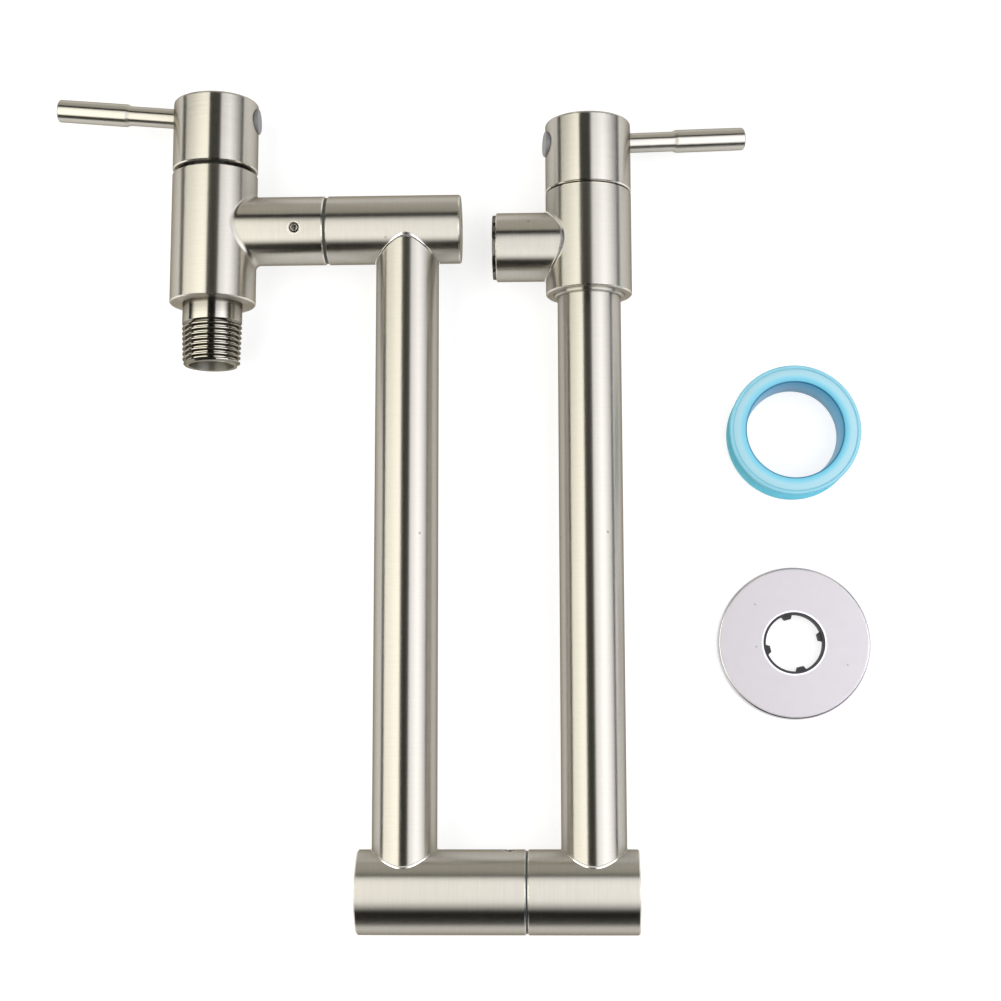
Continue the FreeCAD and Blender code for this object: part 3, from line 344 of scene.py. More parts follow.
def as_piece(form, name, body, node, material, sharp=30):
    """Turn a finished bmesh into a piece that stands for a CAD node."""
    bmesh.ops.remove_doubles(form, verts=form.verts, dist=1e-6)
    bmesh.ops.recalc_face_normals(form, faces=form.faces)
    mesh = bpy.data.meshes.new(name)
    form.to_mesh(mesh)
    form.free()
    mesh.shade_smooth()
    mesh.set_sharp_from_angle(angle=math.radians(sharp))
    mesh.materials.append(material)
    piece = bpy.data.objects.new(name, mesh)
    bpy.context.scene.collection.objects.link(piece)
    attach(piece, body)
    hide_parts(node)
    return piece


def ring_at(form, height):
    """The open edge loop at one height on Y."""
    return [edge for edge in form.edges if edge.is_boundary
            and all(abs(corner.co.y - height) < 1e-6 for corner in edge.verts)]


def carry_ring(form, ring, height, radius):
    """Extrude an edge loop round Y to a new height and radius, and give the new loop."""
    grown = bmesh.ops.extrude_edge_only(form, edges=ring)["geom"]
    for corner in (item for item in grown if isinstance(item, bmesh.types.BMVert)):
        share = radius / math.hypot(corner.co.x, corner.co.z)
        corner.co = (corner.co.x * share, height, corner.co.z * share)
    return [item for item in grown if isinstance(item, bmesh.types.BMEdge) and item.is_boundary]


form = bmesh.new()
thread_line = []
for turn in range(-2, 11):
    crest = NECK_FOOT - turn * THREAD_PITCH
    for step, radius in ((FLANK_HEAD, THREAD_RADIUS), (FLANK_FOOT, THREAD_RADIUS - THREAD_DEPTH),
                         (1 - FLANK_FOOT, THREAD_RADIUS - THREAD_DEPTH),
                         (1 - FLANK_HEAD, THREAD_RADIUS)):
        thread_line.append((radius, crest - step * THREAD_PITCH))
bmesh.ops.spin(form, geom=draw_line(form, thread_line), cent=(0, 0, 0), axis=(0, 1, 0),
               dvec=(0, THREAD_PITCH / THREAD_STEPS, 0), angle=math.tau, steps=THREAD_STEPS)
bmesh.ops.remove_doubles(form, verts=form.verts, dist=1e-6)
for cut, away in ((NECK_FOOT, UP), (THREAD_END, (0, -1, 0))):
    bmesh.ops.bisect_plane(form, geom=[*form.verts, *form.edges, *form.faces], dist=1e-7,
                           plane_co=(0, cut, 0), plane_no=away, clear_outer=True)
for corner in form.verts:
    across = math.hypot(corner.co.x, corner.co.z)
    below = NECK_FOOT - corner.co.y
    runout = min(below / (RUNOUT_TURNS * THREAD_PITCH), 1.0)
    wanted = (across - THREAD_RADIUS) * runout + THREAD_RADIUS - below * THREAD_TAPER
    wanted += (NECK_RADIUS - THREAD_RADIUS) * (1 - runout)
    end_limit = THREAD_RADIUS - MOUTH_CHAMFER + (corner.co.y - THREAD_END) * (1 - THREAD_TAPER)
    wanted = min(wanted, end_limit + (THREAD_END - NECK_FOOT) * THREAD_TAPER)
    corner.co.x, corner.co.z = corner.co.x * wanted / across, corner.co.z * wanted / across
ring = ring_at(form, NECK_FOOT)
for height, radius in (
        (NECK_HEAD, NECK_RADIUS), (NECK_HEAD, SEAT_RADIUS), (SEAT_HEAD, SEAT_RADIUS),
        (SEAT_HEAD, BORE_RADIUS), (THREAD_END, BORE_RADIUS)):
    ring = carry_ring(form, ring, height, radius)
bmesh.ops.triangle_fill(form, edges=ring_at(form, THREAD_END), use_beauty=True)
nipple_steel = brushed_steel("nipple_steel", (0, 0, 0), UP, roughness=0.17, grain=0.06,
                             colour=(0.45, 0.43, 0.38), stretch=0.5, relief=0.01)
tree = nipple_steel.node_tree
shader = tree.nodes["Principled BSDF"]
clean = shader.inputs["Base Color"].links[0].from_socket
place = add(tree, "TexCoord").outputs["Object"]
height = add(tree, "SeparateXYZ")
tree.links.new(place, height.inputs[0])
crest = calculate(tree, "MULTIPLY_ADD", height.outputs[1], THREAD_TAPER,
                  THREAD_RADIUS - NECK_FOOT * THREAD_TAPER)
off_axis = combine(tree, "LENGTH", combine(tree, "MULTIPLY", place, (1, 0, 1)))
below_crest = calculate(tree, "SUBTRACT", crest, off_axis)
on_flank = calculate(tree, "SUBTRACT", ramp(tree, below_crest, 0.06 * MM, 0.24 * MM),
                     ramp(tree, below_crest, 0.98 * MM, 1.13 * MM))
# Painted shade: the thread flanks between the crests are darkened towards near black.
flank_shade = calculate(tree, "MULTIPLY", on_flank, FLANK_SHADE_SHARE)
tree.links.new(mix_colours(tree, flank_shade, clean, FLANK_SHADE_COLOUR), shader.inputs["Base Color"])
in_bore = ramp(tree, below_crest, 1.3 * MM, 1.6 * MM)
polish = shader.inputs["Roughness"].links[0].from_socket
tree.links.new(calculate(tree, "MULTIPLY_ADD", in_bore, BORE_ROUGHNESS, polish),
               shader.inputs["Roughness"])
as_piece(form, "threaded_nipple", "inlet_valve", "inlet_nipple", nipple_steel)

# Cartridges. Nickel-plated brass housings with bare brass stems, ceramic discs, rubber seals and
# a steel clip. They sit inside the two valve bodies, and only a hexagon shows in each cap's gap,
# so the housings are darkened to near black as painted shade.
BRASS, SHADED_NICKEL = (0.72, 0.55, 0.28), (0.20, 0.195, 0.185)
INLET_X, OUTLET_X = 0.0, 132.2 * MM
SPECKS_PER_METRE, SPECK_DARKNESS, SPECK_SHADE = 260.0, 0.6, 0.4
UNEVEN_ROUGHNESS = 0.12


def plain_surface(name, colour, roughness, metallic=0.0, mottle=0.06, scale=300.0,
                  bump_height=0.01, specks=0.0):
    """A surface of one stuff, faintly uneven in colour and height, with few or no specks."""
    material = bpy.data.materials.new(name)
    material.use_nodes = True
    tree = material.node_tree
    shader = tree.nodes["Principled BSDF"]
    spot = add(tree, "TexCoord")
    noise = add(tree, "TexNoise")
    noise.inputs["Scale"].default_value = scale
    noise.inputs["Detail"].default_value = 4.0
    tree.links.new(spot.outputs["Object"], noise.inputs["Vector"])
    dark = tuple(c * (1 - mottle) for c in colour)
    light = tuple(min(c * (1 + mottle), 1) for c in colour)
    shade = mix_colours(tree, noise.outputs["Fac"], dark, light)
    if specks:
        dots = add(tree, "Group")
        dots.node_tree = turned_finish
        dots.inputs["Pits per Metre"].default_value = SPECKS_PER_METRE
        dots.inputs["Pit Share"].default_value = specks
        tree.links.new(spot.outputs["Object"], dots.inputs["Place"])
        speckled = calculate(tree, "MULTIPLY", dots.outputs["Pits"], SPECK_DARKNESS)
        shade = mix_colours(tree, speckled, shade, tuple(c * SPECK_SHADE for c in colour))
    tree.links.new(shade, shader.inputs["Base Color"])
    rough = calculate(tree, "MULTIPLY_ADD", noise.outputs["Fac"], UNEVEN_ROUGHNESS,
                      roughness - UNEVEN_ROUGHNESS / 2)
    tree.links.new(rough, shader.inputs["Roughness"])
    shader.inputs["Metallic"].default_value = metallic
    bump = add(tree, "Bump")
    bump.inputs["Strength"].default_value = 0.15
    bump.inputs["Distance"].default_value = bump_height * MM
    tree.links.new(noise.outputs["Fac"], bump.inputs["Height"])
    tree.links.new(bump.outputs[0], shader.inputs["Normal"])
    return material


rubber = plain_surface("black_rubber", (0.02, 0.02, 0.022), 0.55, mottle=0.3)
ceramic = plain_surface("white_ceramic", (0.86, 0.85, 0.82), 0.15)
for side, x in (("inlet", INLET_X), ("outlet", OUTLET_X)):
    brass = brushed_steel(f"{side}_brass", (x, 0, 0), UP, colour=BRASS, roughness=0.3)
    # The housing's colour is darkened to near black as painted shade, since it shows only in the
    # cap's gap.
    finish_node(f"{side}_cartridge_body", brushed_steel(
        f"{side}_nickel_painted_shade", (x, 0, 0), UP, colour=SHADED_NICKEL, roughness=0.5))
    finish_node(f"{side}_cartridge_stem", brass)
    for piece in ("fixed_disc", "moving_disc"):
        finish_node(f"{side}_{piece}", ceramic)
    for piece in ("seat_seal", "stem_oring", "collar_oring"):
        finish_node(f"{side}_{piece}", rubber)
    finish_node(f"{side}_stem_clip", brushed_steel(f"{side}_clip_steel", (x, 0, 0), UP))

# Handles. A hollow steel cap on each stem with a turned lever screwed into it. The grub screw
# that clamps the cap is hidden behind a flat grey plug.
LEVER_TILT = math.radians(5.2)
CAP_FOOT = {"inlet": 48.1 * MM, "outlet": 38.7 * MM}
HANDLE_TURN = {"inlet": math.radians(-0.5), "outlet": math.radians(191.0)}
LEVER_HEIGHT = {"inlet": 18.8 * MM, "outlet": 17.75 * MM}
plug_grey = plain_surface("plug_grey", (0.21, 0.21, 0.215), 0.35, mottle=0.04)
for side, x in (("inlet", INLET_X), ("outlet", OUTLET_X)):
    finish_node(f"{side}_handle_cap", brushed_steel(
        f"{side}_cap_steel", (x, 0, 0), UP, roughness=0.26, relief=0.01,
        ends=((UP, CAP_FOOT[side]),)))
    turn = HANDLE_TURN[side]
    along = (-math.cos(LEVER_TILT) * math.cos(turn), math.sin(LEVER_TILT),
             math.cos(LEVER_TILT) * math.sin(turn))
    root = (x, CAP_FOOT[side] + LEVER_HEIGHT[side], 0)
    finish_node(f"{side}_handle_lever", brushed_steel(
        f"{side}_lever_steel", root, along, roughness=0.30, grain=0.02, relief=0.006))
    finish_node(f"{side}_grub_screw", brushed_steel(
        f"{side}_grub_steel", root, ACROSS, colour=(0.3, 0.29, 0.28)))
    finish_node(f"{side}_index_plug", plug_grey)

# Shoulder. The barrel across the top of the inner arm with its end plate, and the spigot, seals
# and washer that let it swivel on the inlet valve's branch.
washer_plastic = plain_surface("washer_plastic", (0.045, 0.05, 0.055), 0.5)
shoulder_middle = (0, INLET_BRANCH_Y, 0)
shoulder_steel = brushed_steel("shoulder_steel", shoulder_middle, ACROSS,
                               ends=((ACROSS, 40.8 * MM), (ACROSS, 87.4 * MM)))
for piece in ("shoulder_barrel", "shoulder_end_plate", "shoulder_spigot"):
    finish_node(piece, shoulder_steel)
finish_node("shoulder_orings", rubber)
finish_node("shoulder_washer", washer_plastic)

# Set screws. A headless screw with a hexagon socket holds each spigot in its barrel. The face has
# a groove round the socket, and both are dark inside with painted shade.
SCREW_RADIUS, SOCKET_ACROSS, SOCKET_DEPTH = 2.0 * MM, 1.5 * MM, 1.8 * MM
GROOVE_INNER, GROOVE_OUTER, GROOVE_DEPTH = 1.2 * MM, 1.7 * MM, 0.6 * MM
SCREW_INNER_END, SOCKET_SINK = 8.05 * MM, 0.15 * MM
CUP_TAPER, CUP_RADIUS, CUP_EDGE, CUP_DEPTH = 0.6 * MM, 0.9 * MM, 1.4 * MM, 0.5 * MM
SCREW_STEEL = (0.62, 0.60, 0.57)
SOCKET_CUTS = 7
socket_painted_shade = plain_surface("socket_painted_shade", (0.035, 0.03, 0.026), 0.3, metallic=1.0, mottle=0.2)


def turn_form(form, points, steps):
    """Spin an open or closed line of points, as radius and height, round Y."""
    bmesh.ops.spin(form, geom=draw_line(form, points), cent=(0, 0, 0), axis=UP,
                   angle=math.tau, steps=steps, use_merge=True)
    bmesh.ops.remove_doubles(form, verts=form.verts, dist=1e-6)


def socket_screw(name, body, node, barrel, outer_end, material):
    """A headless screw, set radially in a barrel, with painted shade in its hexagon socket."""
    length = outer_end - SCREW_INNER_END
    form = bmesh.new()
    turn_form(form, (
        (1.0 * MM, 0), (GROOVE_INNER, 0), (GROOVE_INNER, -GROOVE_DEPTH),
        (GROOVE_OUTER, -GROOVE_DEPTH), (GROOVE_OUTER, -0.1 * MM), (SCREW_RADIUS, -0.2 * MM),
        (SCREW_RADIUS, CUP_TAPER - length), (CUP_EDGE, -length), (CUP_RADIUS, -length),
        (0, CUP_DEPTH - length)), 48)
    # Painted shade: the groove's floor takes the second, near-black material.
    for face in form.faces:
        if all(GROOVE_INNER - 1e-6 < math.hypot(corner.co.x, corner.co.z) < GROOVE_OUTER + 1e-6
               for corner in face.verts) and face.calc_center_median().y < -0.2 * MM:
            face.material_index = 1
    mouth = ring_at(form, 0)
    hexagon = bmesh.ops.create_circle(
        form, segments=6, radius=SOCKET_ACROSS / math.sqrt(3))["verts"]
    bmesh.ops.rotate(form, verts=hexagon, matrix=Matrix.Rotation(math.pi / 2, 3, "X"))
    bmesh.ops.translate(form, verts=hexagon, vec=(0, -SOCKET_SINK, 0))
    sides = list({edge for corner in hexagon for edge in corner.link_edges})
    bmesh.ops.subdivide_edges(form, edges=sides, cuts=SOCKET_CUTS)
    rim = ring_at(form, -SOCKET_SINK)
    bmesh.ops.bridge_loops(form, edges=mouth + rim)
    walls = bmesh.ops.extrude_edge_only(form, edges=rim)["geom"]
    floor = [item for item in walls if isinstance(item, bmesh.types.BMVert)]
    bmesh.ops.translate(form, verts=floor, vec=(0, -SOCKET_DEPTH, 0))
    bottom = bmesh.ops.contextual_create(form, geom=[
        item for item in walls if isinstance(item, bmesh.types.BMEdge) and item.is_boundary])
    sides = [item for item in walls if isinstance(item, bmesh.types.BMFace)]
    # Painted shade: the socket's walls and floor take the second, near-black material too.
    for face in (*sides, *bottom["faces"]):
        face.material_index = 1
    middle, outward = Vector(barrel[0]), Vector(barrel[1])
    turn = Vector(UP).rotation_difference(outward).to_matrix()
    bmesh.ops.rotate(form, verts=form.verts, cent=(0, 0, 0), matrix=turn)
    bmesh.ops.translate(form, verts=form.verts, vec=middle + outward * outer_end)
    screw = as_piece(form, name, body, node, material)
    screw.data.materials.append(socket_painted_shade)
    return screw


socket_screw("shoulder_socket_screw", "inlet_valve", "shoulder_set_screw", SHOULDER_SCREW_LINE,
             11.7 * MM, brushed_steel("shoulder_screw_steel", *SHOULDER_SCREW_LINE,
                                      colour=SCREW_STEEL, roughness=0.3))

# Arm tubes. Drawn stainless tubes, coped and welded to their barrels. The welds are ground and
# polished, and their colour is brightened past steel's as a painted highlight, so they shine as
# thin bright lines.
INNER_TUBE_X = 68.7 * MM
for piece, x in (("inner", INNER_TUBE_X), ("outer", OUTLET_X)):
    finish_node(f"{piece}_arm_tube", brushed_steel(
        f"{piece}_tube_steel", (x, 0, 0), UP, roughness=0.35, grain=0.03))
# Painted highlight: the weld colour is near white, brighter than steel.
weld_highlight_steel = plain_surface("weld_highlight_steel", (0.98, 0.96, 0.92), 0.24, metallic=1.0)
for piece in ("shoulder_weld_bead", "elbow_inner_weld_bead", "elbow_outer_weld_bead",
              "outlet_stub_weld_bead"):
    finish_node(piece, weld_highlight_steel)

# Elbow. Two barrels on one axis with a narrow gap, an end plate on each, and a spigot with its
# seals and washer between them.
ELBOW_Y = -202.1 * MM
ELBOW_SCREW_LINE = ((104.0 * MM, ELBOW_Y, 0), (0, 0.9903, 0.1392))
elbow_steel = brushed_steel(
    "elbow_steel", (0, ELBOW_Y, 0), ACROSS, rims=((*ELBOW_SCREW_LINE, SCREW_HOLE_RADIUS),),
    ends=[(ACROSS, end * MM) for end in (53.2, 109.5, 110.1, 147.1)])
for piece in ("elbow_inner_barrel", "elbow_inner_end_plate", "elbow_outer_barrel",
              "elbow_outer_end_plate", "elbow_spigot"):
    finish_node(piece, elbow_steel)
finish_node("elbow_orings", rubber)
finish_node("elbow_washer", washer_plastic)
socket_screw("elbow_socket_screw", "inner_arm", "elbow_set_screw", ELBOW_SCREW_LINE, 13.7 * MM,
             brushed_steel("elbow_screw_steel", *ELBOW_SCREW_LINE, colour=SCREW_STEEL,
                           roughness=0.3))

# Outlet valve body with its stub, brushed as the inlet's is, and the turned bead round the tube
# below it.
OUTLET_STUB_Y = 19.3 * MM
OUTLET_BODY_FOOT, OUTLET_BODY_HEAD, STUB_MOUTH_X = 1.7 * MM, 38.2 * MM, 99.9 * MM
finish_node("outlet_valve_body", brushed_steel(
    "outlet_body_steel", (OUTLET_X, 0, 0), UP,
    ((OUTLET_X, OUTLET_STUB_Y, 0), (-1, 0, 0), BRANCH_RADIUS, BRANCH_START), roughness=0.33,
    ends=((UP, OUTLET_BODY_FOOT), (UP, OUTLET_BODY_HEAD), (ACROSS, STUB_MOUTH_X))))
finish_node("outlet_collar_bead", brushed_steel("collar_bead_steel", (OUTLET_X, 0, 0), UP,
                                                roughness=0.3))

# Aerator. A notched steel ring screwed into the stub's mouth, drawn dark, with a white spray
# insert and its washer.
finish_node("aerator_housing", brushed_steel(
    "aerator_steel", (0, OUTLET_STUB_Y, 0), ACROSS, colour=(0.19, 0.18, 0.165), roughness=0.3))
finish_node("aerator_insert", plain_surface("spray_plastic", (0.78, 0.78, 0.76), 0.4))
finish_node("aerator_washer", rubber)

# Escutcheon. A pressed cover of chrome-plated steel, satin on its face and sharp at its rim and
# lip, with the black rubber ring that grips the neck.
COVER_MIDDLE, COVER_RADIUS, COVER_HOLE = (201.7 * MM, -119.0 * MM, 0), 26.2 * MM, 10.6 * MM
EDGE_POLISH = -0.85
# Painted reflection: the faint lilac tint of this colour stands in for a lilac card seen in the
# face.
cover_chrome = plain_surface("escutcheon_chrome", (0.64, 0.615, 0.64), 0.66, metallic=1.0,
                             mottle=0.015, specks=0.14)
tree = cover_chrome.node_tree
shader = tree.nodes["Principled BSDF"]
satin = shader.inputs["Roughness"].links[0].from_socket
from_middle = combine(tree, "SUBTRACT", add(tree, "TexCoord").outputs["Object"], COVER_MIDDLE)
across = combine(tree, "LENGTH", combine(tree, "MULTIPLY", from_middle, (1, 1, 0)))
rim = ramp(tree, across, COVER_RADIUS - 0.9 * MM, COVER_RADIUS - 0.5 * MM)
lip = calculate(tree, "SUBTRACT", 1.0, ramp(
    tree, across, COVER_HOLE + 0.4 * MM, COVER_HOLE + 0.7 * MM))
edges = calculate(tree, "MAXIMUM", rim, lip)
tree.links.new(calculate(tree, "MULTIPLY", satin, calculate(
    tree, "MULTIPLY_ADD", edges, EDGE_POLISH, 1.0)), shader.inputs["Roughness"])
finish_node("escutcheon_plate", cover_chrome)
finish_node("escutcheon_grip_ring", rubber)

# Roll of thread-sealing tape: a spool moulded in clear blue plastic, its colour set by the distance
# from its axis and holding painted shade, with white tape on it.
TAPE_X, TAPE_Y, TAPE_FOOT, SPOOL_HEIGHT = 202.8 * MM, -46.1 * MM, -15.0 * MM, 14.0 * MM
SPOOL_LINE = (
    (16.2, 0.0), (22.1, 0.0), (22.6, 0.4), (22.6, 0.9), (22.2, 1.2), (18.2, 1.2), (17.7, 1.6),
    (17.7, 12.4), (18.2, 12.8), (22.2, 12.8), (22.6, 13.0), (22.6, 13.35), (22.3, 13.7),
    (21.7, 13.85), (21.3, 13.6), (20.9, 13.8), (20.0, 13.95), (18.4, 14.0), (17.3, 13.9),
    (16.8, 13.65), (16.6, 13.2), (16.3, 7.0), (16.0, 0.4), (16.2, 0.0))
# Top face colours by radius in mm, with painted shade at the bore's lip and in the groove near the
# rim.
SPOOL_TOP_PAINTED = (
    (16.55, (0.008, 0.13, 0.26)), (16.95, (0.010, 0.18, 0.34)), (17.15, (0.15, 0.50, 0.66)),
    (18.3, (0.22, 0.58, 0.72)), (19.3, (0.36, 0.61, 0.70)), (20.9, (0.36, 0.61, 0.70)),
    (21.3, (0.18, 0.47, 0.59)), (21.8, (0.30, 0.61, 0.73)), (22.5, (0.21, 0.56, 0.71)))


def clear_blue_plastic():
    """Clear blue moulding: pale over the white tape, and deep where the walls are seen edge on, as
    painted shade at the bore's lip, in the groove near the rim and on the bore wall.
    """
    material = plain_surface("clear_blue_plastic", (0.2, 0.5, 0.6), 0.30, scale=90.0)
    tree = material.node_tree
    shader = tree.nodes["Principled BSDF"]
    place = add(tree, "TexCoord").outputs["Object"]
    from_middle = combine(tree, "SUBTRACT", place, (TAPE_X, TAPE_Y, TAPE_FOOT))
    across = combine(tree, "LENGTH", combine(tree, "MULTIPLY", from_middle, (1, 1, 0)))
    share = add(tree, "MapRange")
    tree.links.new(across, share.inputs["Value"])
    low, high = SPOOL_TOP_PAINTED[0][0] * MM, SPOOL_TOP_PAINTED[-1][0] * MM
    share.inputs["From Min"].default_value, share.inputs["From Max"].default_value = low, high
    top = add(tree, "ValToRGB")
    tree.links.new(share.outputs[0], top.inputs[0])
    for index, (radius, colour) in enumerate((SPOOL_TOP_PAINTED[0], SPOOL_TOP_PAINTED[-1], *SPOOL_TOP_PAINTED[1:-1])):
        stop_place = (radius * MM - low) / (high - low)
        elements = top.color_ramp.elements
        stop = elements[index] if index < 2 else elements.new(stop_place)
        stop.position, stop.color = stop_place, (*colour, 1)
    height = add(tree, "SeparateXYZ")
    tree.links.new(from_middle, height.inputs[0])
    # Painted shade: the bore wall is a deeper blue than the outer walls.
    walls = mix_colours(tree, ramp(tree, across, 16.8 * MM, 17.6 * MM),
                        (0.06, 0.40, 0.64), (0.17, 0.60, 0.76))
    on_top = ramp(tree, height.outputs[2], SPOOL_HEIGHT - 1.0 * MM, SPOOL_HEIGHT - 0.8 * MM)
    tree.links.new(mix_colours(tree, on_top, walls, top.outputs[0]), shader.inputs["Base Color"])
    shader.inputs["Coat Weight"].default_value = 0.05
    shader.inputs["Specular IOR Level"].default_value = 0.25
    return material


def stand_up(form):
    """Set a form turned round Y upright on the table, in the tape's place."""
    upright = Matrix.Rotation(math.pi / 2, 3, "X")
    bmesh.ops.rotate(form, verts=form.verts, cent=(0, 0, 0), matrix=upright)
    bmesh.ops.translate(form, verts=form.verts, vec=(TAPE_X, TAPE_Y, TAPE_FOOT))


form = bmesh.new()
turn_form(form, [(radius * MM, height * MM) for radius, height in SPOOL_LINE], 160)
stand_up(form)
as_piece(form, "tape_spool", "thread_tape", "thread_tape_spool", clear_blue_plastic())

# The tape itself is thin film, wound in layers whose edges never lie quite level.
TAPE_INNER, TAPE_OUTER, TAPE_LOW, TAPE_HIGH = 17.76 * MM, 20.55 * MM, 1.3 * MM, 12.7 * MM
LAYER_EDGES = 14
LAYER_STRAY, LAYER_INSET = 0.08 * MM, 0.1 * MM
tape_line = [(TAPE_INNER, TAPE_LOW)]
for layer in range(1, LAYER_EDGES + 1):
    radius = TAPE_INNER + (TAPE_OUTER - TAPE_INNER) * layer / LAYER_EDGES
    tape_line.append((radius, TAPE_LOW + LAYER_STRAY * math.sin(layer * 2.3) + LAYER_INSET))
for layer in range(LAYER_EDGES, 0, -1):
    radius = TAPE_INNER + (TAPE_OUTER - TAPE_INNER) * layer / LAYER_EDGES
    tape_line.append((radius, TAPE_HIGH + LAYER_STRAY * math.sin(layer * 1.7) - LAYER_INSET))
form = bmesh.new()
turn_form(form, [*tape_line, (TAPE_INNER, TAPE_HIGH), tape_line[0]], 128)
stand_up(form)
as_piece(form, "wound_tape", "thread_tape", "thread_tape_roll",
         plain_surface("white_tape", (0.84, 0.86, 0.88), 0.6, mottle=0.03, scale=900.0))

# Table. A plain pale sheet under everything that keeps the faucet's soft shadow, and is evenly
# white away from it. The metal shows it darker, and darkest beyond its near edge.
TABLE_SIZE, TABLE_MIDDLE = 9.0, (0.1, 0, -15.0 * MM)
PAPER = (0.40, 0.40, 0.40)
TABLE_GLOW, GLOW_IN_METAL, GLOW_BEYOND = 0.73, 0.78, 0.12
FULL_GLOW_START, FULL_GLOW_END = 0.5, 1.3
NEAR_EDGE_LOW, NEAR_EDGE_HIGH = -0.34, -0.28


def flat_sheet(name, width, depth, place, turn=(0, 0, 0)):
    """A flat rectangle of the studio, its size and place in the mesh itself."""
    form = bmesh.new()
    bmesh.ops.create_grid(form, x_segments=1, y_segments=1, size=0.5)
    bmesh.ops.scale(form, vec=(width, depth, 1), verts=form.verts)
    bmesh.ops.rotate(form, cent=(0, 0, 0), matrix=Euler(turn).to_matrix(), verts=form.verts)
    bmesh.ops.translate(form, vec=place, verts=form.verts)
    mesh = bpy.data.meshes.new(name)
    form.to_mesh(mesh)
    form.free()
    sheet = bpy.data.objects.new(name, mesh)
    bpy.context.scene.collection.objects.link(sheet)
    return sheet


def background_rays(tree, in_metal=1.0):
    """The share in which rays show the background: from the camera, off metal, through glass."""
    path = add(tree, "LightPath")
    off_metal = calculate(tree, "MULTIPLY", path.outputs["Is Glossy Ray"], in_metal)
    shown = calculate(tree, "ADD", path.outputs["Is Camera Ray"], off_metal, clamp=True)
    return calculate(tree, "ADD", shown, path.outputs["Is Transmission Ray"], clamp=True)


table = flat_sheet("table", TABLE_SIZE, TABLE_SIZE, TABLE_MIDDLE)
table_paper = bpy.data.materials.new("table_paper")
table_paper.use_nodes = True
tree = table_paper.node_tree
shader = tree.nodes["Principled BSDF"]
shader.inputs["Base Color"].default_value = (*PAPER, 1)
shader.inputs["Roughness"].default_value = 0.9
shader.inputs["Specular IOR Level"].default_value = 0.1
shader.inputs["Emission Color"].default_value = (1, 1, 1, 1)
place = add(tree, "TexCoord").outputs["Object"]
from_middle = combine(tree, "SUBTRACT", place, TABLE_MIDDLE)
far = ramp(tree, combine(tree, "LENGTH", from_middle), FULL_GLOW_START, FULL_GLOW_END)
level = calculate(tree, "MULTIPLY_ADD", far, 1 - TABLE_GLOW, TABLE_GLOW)
cut = add(tree, "SeparateXYZ")
tree.links.new(place, cut.inputs[0])
near_edge = ramp(tree, cut.outputs[1], NEAR_EDGE_LOW, NEAR_EDGE_HIGH)
in_metal = calculate(tree, "MULTIPLY_ADD", near_edge, GLOW_IN_METAL - GLOW_BEYOND, GLOW_BEYOND)
glow = calculate(tree, "MULTIPLY", background_rays(tree, in_metal), level)
tree.links.new(glow, shader.inputs["Emission Strength"])
table.data.materials.append(table_paper)

# Studio. Two soft light cards over the table with a dark slot between them, a grey wall far
# behind the top edge, and black cloth elsewhere. The camera sees none of it.
CARD_HEIGHT, CARD_DEPTH, CARD_Y = 450.0 * MM, 1.4, -0.25
LOWER_END = (-0.80, -0.33)
CLOTH_HEIGHT = 1.3
WALL_HEIGHT = 2.6


def screen(name, width, height, place, turn, colour, strength):
    """A sheet of cloth or card that the camera doesn't see, of one even level."""
    sheet = flat_sheet(name, width, height, place, turn)
    sheet.visible_camera = False
    material = bpy.data.materials.new(name)
    material.use_nodes = True
    tree = material.node_tree
    tree.nodes.clear()
    glow, end = add(tree, "Emission"), add(tree, "OutputMaterial")
    glow.inputs["Color"].default_value = (*colour, 1)
    glow.inputs["Strength"].default_value = strength
    tree.links.new(glow.outputs[0], end.inputs["Surface"])
    sheet.data.materials.append(material)
    return sheet


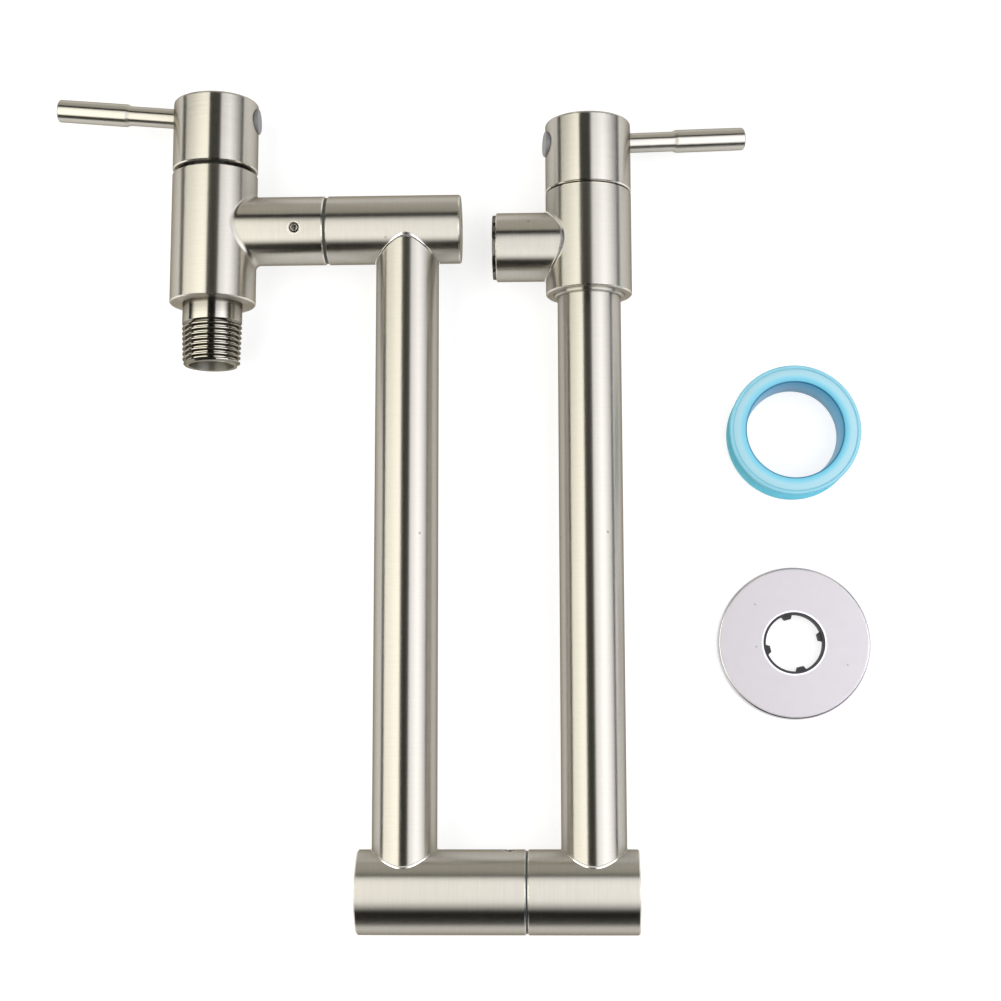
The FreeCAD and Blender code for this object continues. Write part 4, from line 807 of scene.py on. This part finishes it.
def light_card(name, low, high, colour, strength, upper_end, stops):
    """A screen from low to high on X, its glow set by stops along X and soft at both Y ends."""
    middle, width = (low + high) / 2, high - low
    sheet = screen(name, width, CARD_DEPTH, (middle, CARD_Y, CARD_HEIGHT), OVER, colour, strength)
    tree = sheet.data.materials[0].node_tree
    glow = tree.nodes["Emission"]
    spot, cut = add(tree, "TexCoord"), add(tree, "SeparateXYZ")
    tree.links.new(spot.outputs["Object"], cut.inputs[0])
    along = add(tree, "MapRange")
    tree.links.new(cut.outputs[0], along.inputs["Value"])
    along.inputs["From Min"].default_value = low
    along.inputs["From Max"].default_value = high
    fade = add(tree, "ValToRGB")
    tree.links.new(along.outputs["Result"], fade.inputs[0])
    for index, (place, level) in enumerate(stops):
        share = (place - low) / width
        stop = fade.color_ramp.elements[index] if index < 2 else fade.color_ramp.elements.new(share)
        stop.position = share
        stop.color = (level, level, level, 1)
    level = calculate(tree, "MULTIPLY", fade.outputs[0], ramp(tree, cut.outputs[1], *LOWER_END))
    upper = calculate(tree, "SUBTRACT", 1.0, ramp(tree, cut.outputs[1], *upper_end))
    level = calculate(tree, "MULTIPLY", level, upper)
    tree.links.new(calculate(tree, "MULTIPLY", level, strength), glow.inputs["Strength"])


BESIDE, FACING, OVER = (0, math.radians(90), 0), (math.radians(90), 0, 0), (0, 0, 0)
light_card("warm_card", -1.65, -0.06, (1.0, 0.99, 0.905), 3.50, (0.19, 0.35),
           ((-1.65, 1.0), (-0.06, 0.71), (-1.00, 0.86), (-0.50, 0.72)))
light_card("cool_card", 0.175, 2.60, (0.95, 0.955, 1.0), 2.98, (0.19, 0.36), (
    (0.175, 0.0), (2.60, 0.68), (0.20, 0.50), (0.25, 0.68), (0.30, 0.70), (0.385, 0.84),
    (0.50, 1.0), (0.70, 0.99), (1.10, 0.90)))

CLOTH, CLOTH_LEVEL = (1.0, 0.93, 0.88), 0.012
screen("far_wall", 5.4, WALL_HEIGHT, (0.5, 2.6, WALL_HEIGHT / 2), FACING, (1.0, 0.97, 0.86), 0.60)
screen("cloth_over", 5.0, 3.3, (0.5, -0.35, CLOTH_HEIGHT), OVER, CLOTH, CLOTH_LEVEL)
screen("cloth_near", 5.0, 1.4, (0.5, -2.0, 0.65), FACING, CLOTH, CLOTH_LEVEL)
cloth_low = screen("cloth_low", 3.6, 0.085, (0.5, -0.51, 0.0275), FACING, CLOTH, CLOTH_LEVEL)
cloth_low.visible_diffuse = cloth_low.visible_shadow = False
screen("cloth_left", WALL_HEIGHT, 4.7, (-1.80, 0.3, WALL_HEIGHT / 2), BESIDE, CLOTH, CLOTH_LEVEL)
screen("cloth_right", WALL_HEIGHT, 4.7, (2.80, 0.3, WALL_HEIGHT / 2), BESIDE, CLOTH, CLOTH_LEVEL)

world = bpy.data.worlds.new("studio_air")
bpy.context.scene.world = world
world.use_nodes = True
tree = world.node_tree
tree.nodes["Background"].inputs["Color"].default_value = (1, 1, 1, 1)
tree.links.new(background_rays(tree), tree.nodes["Background"].inputs["Strength"])
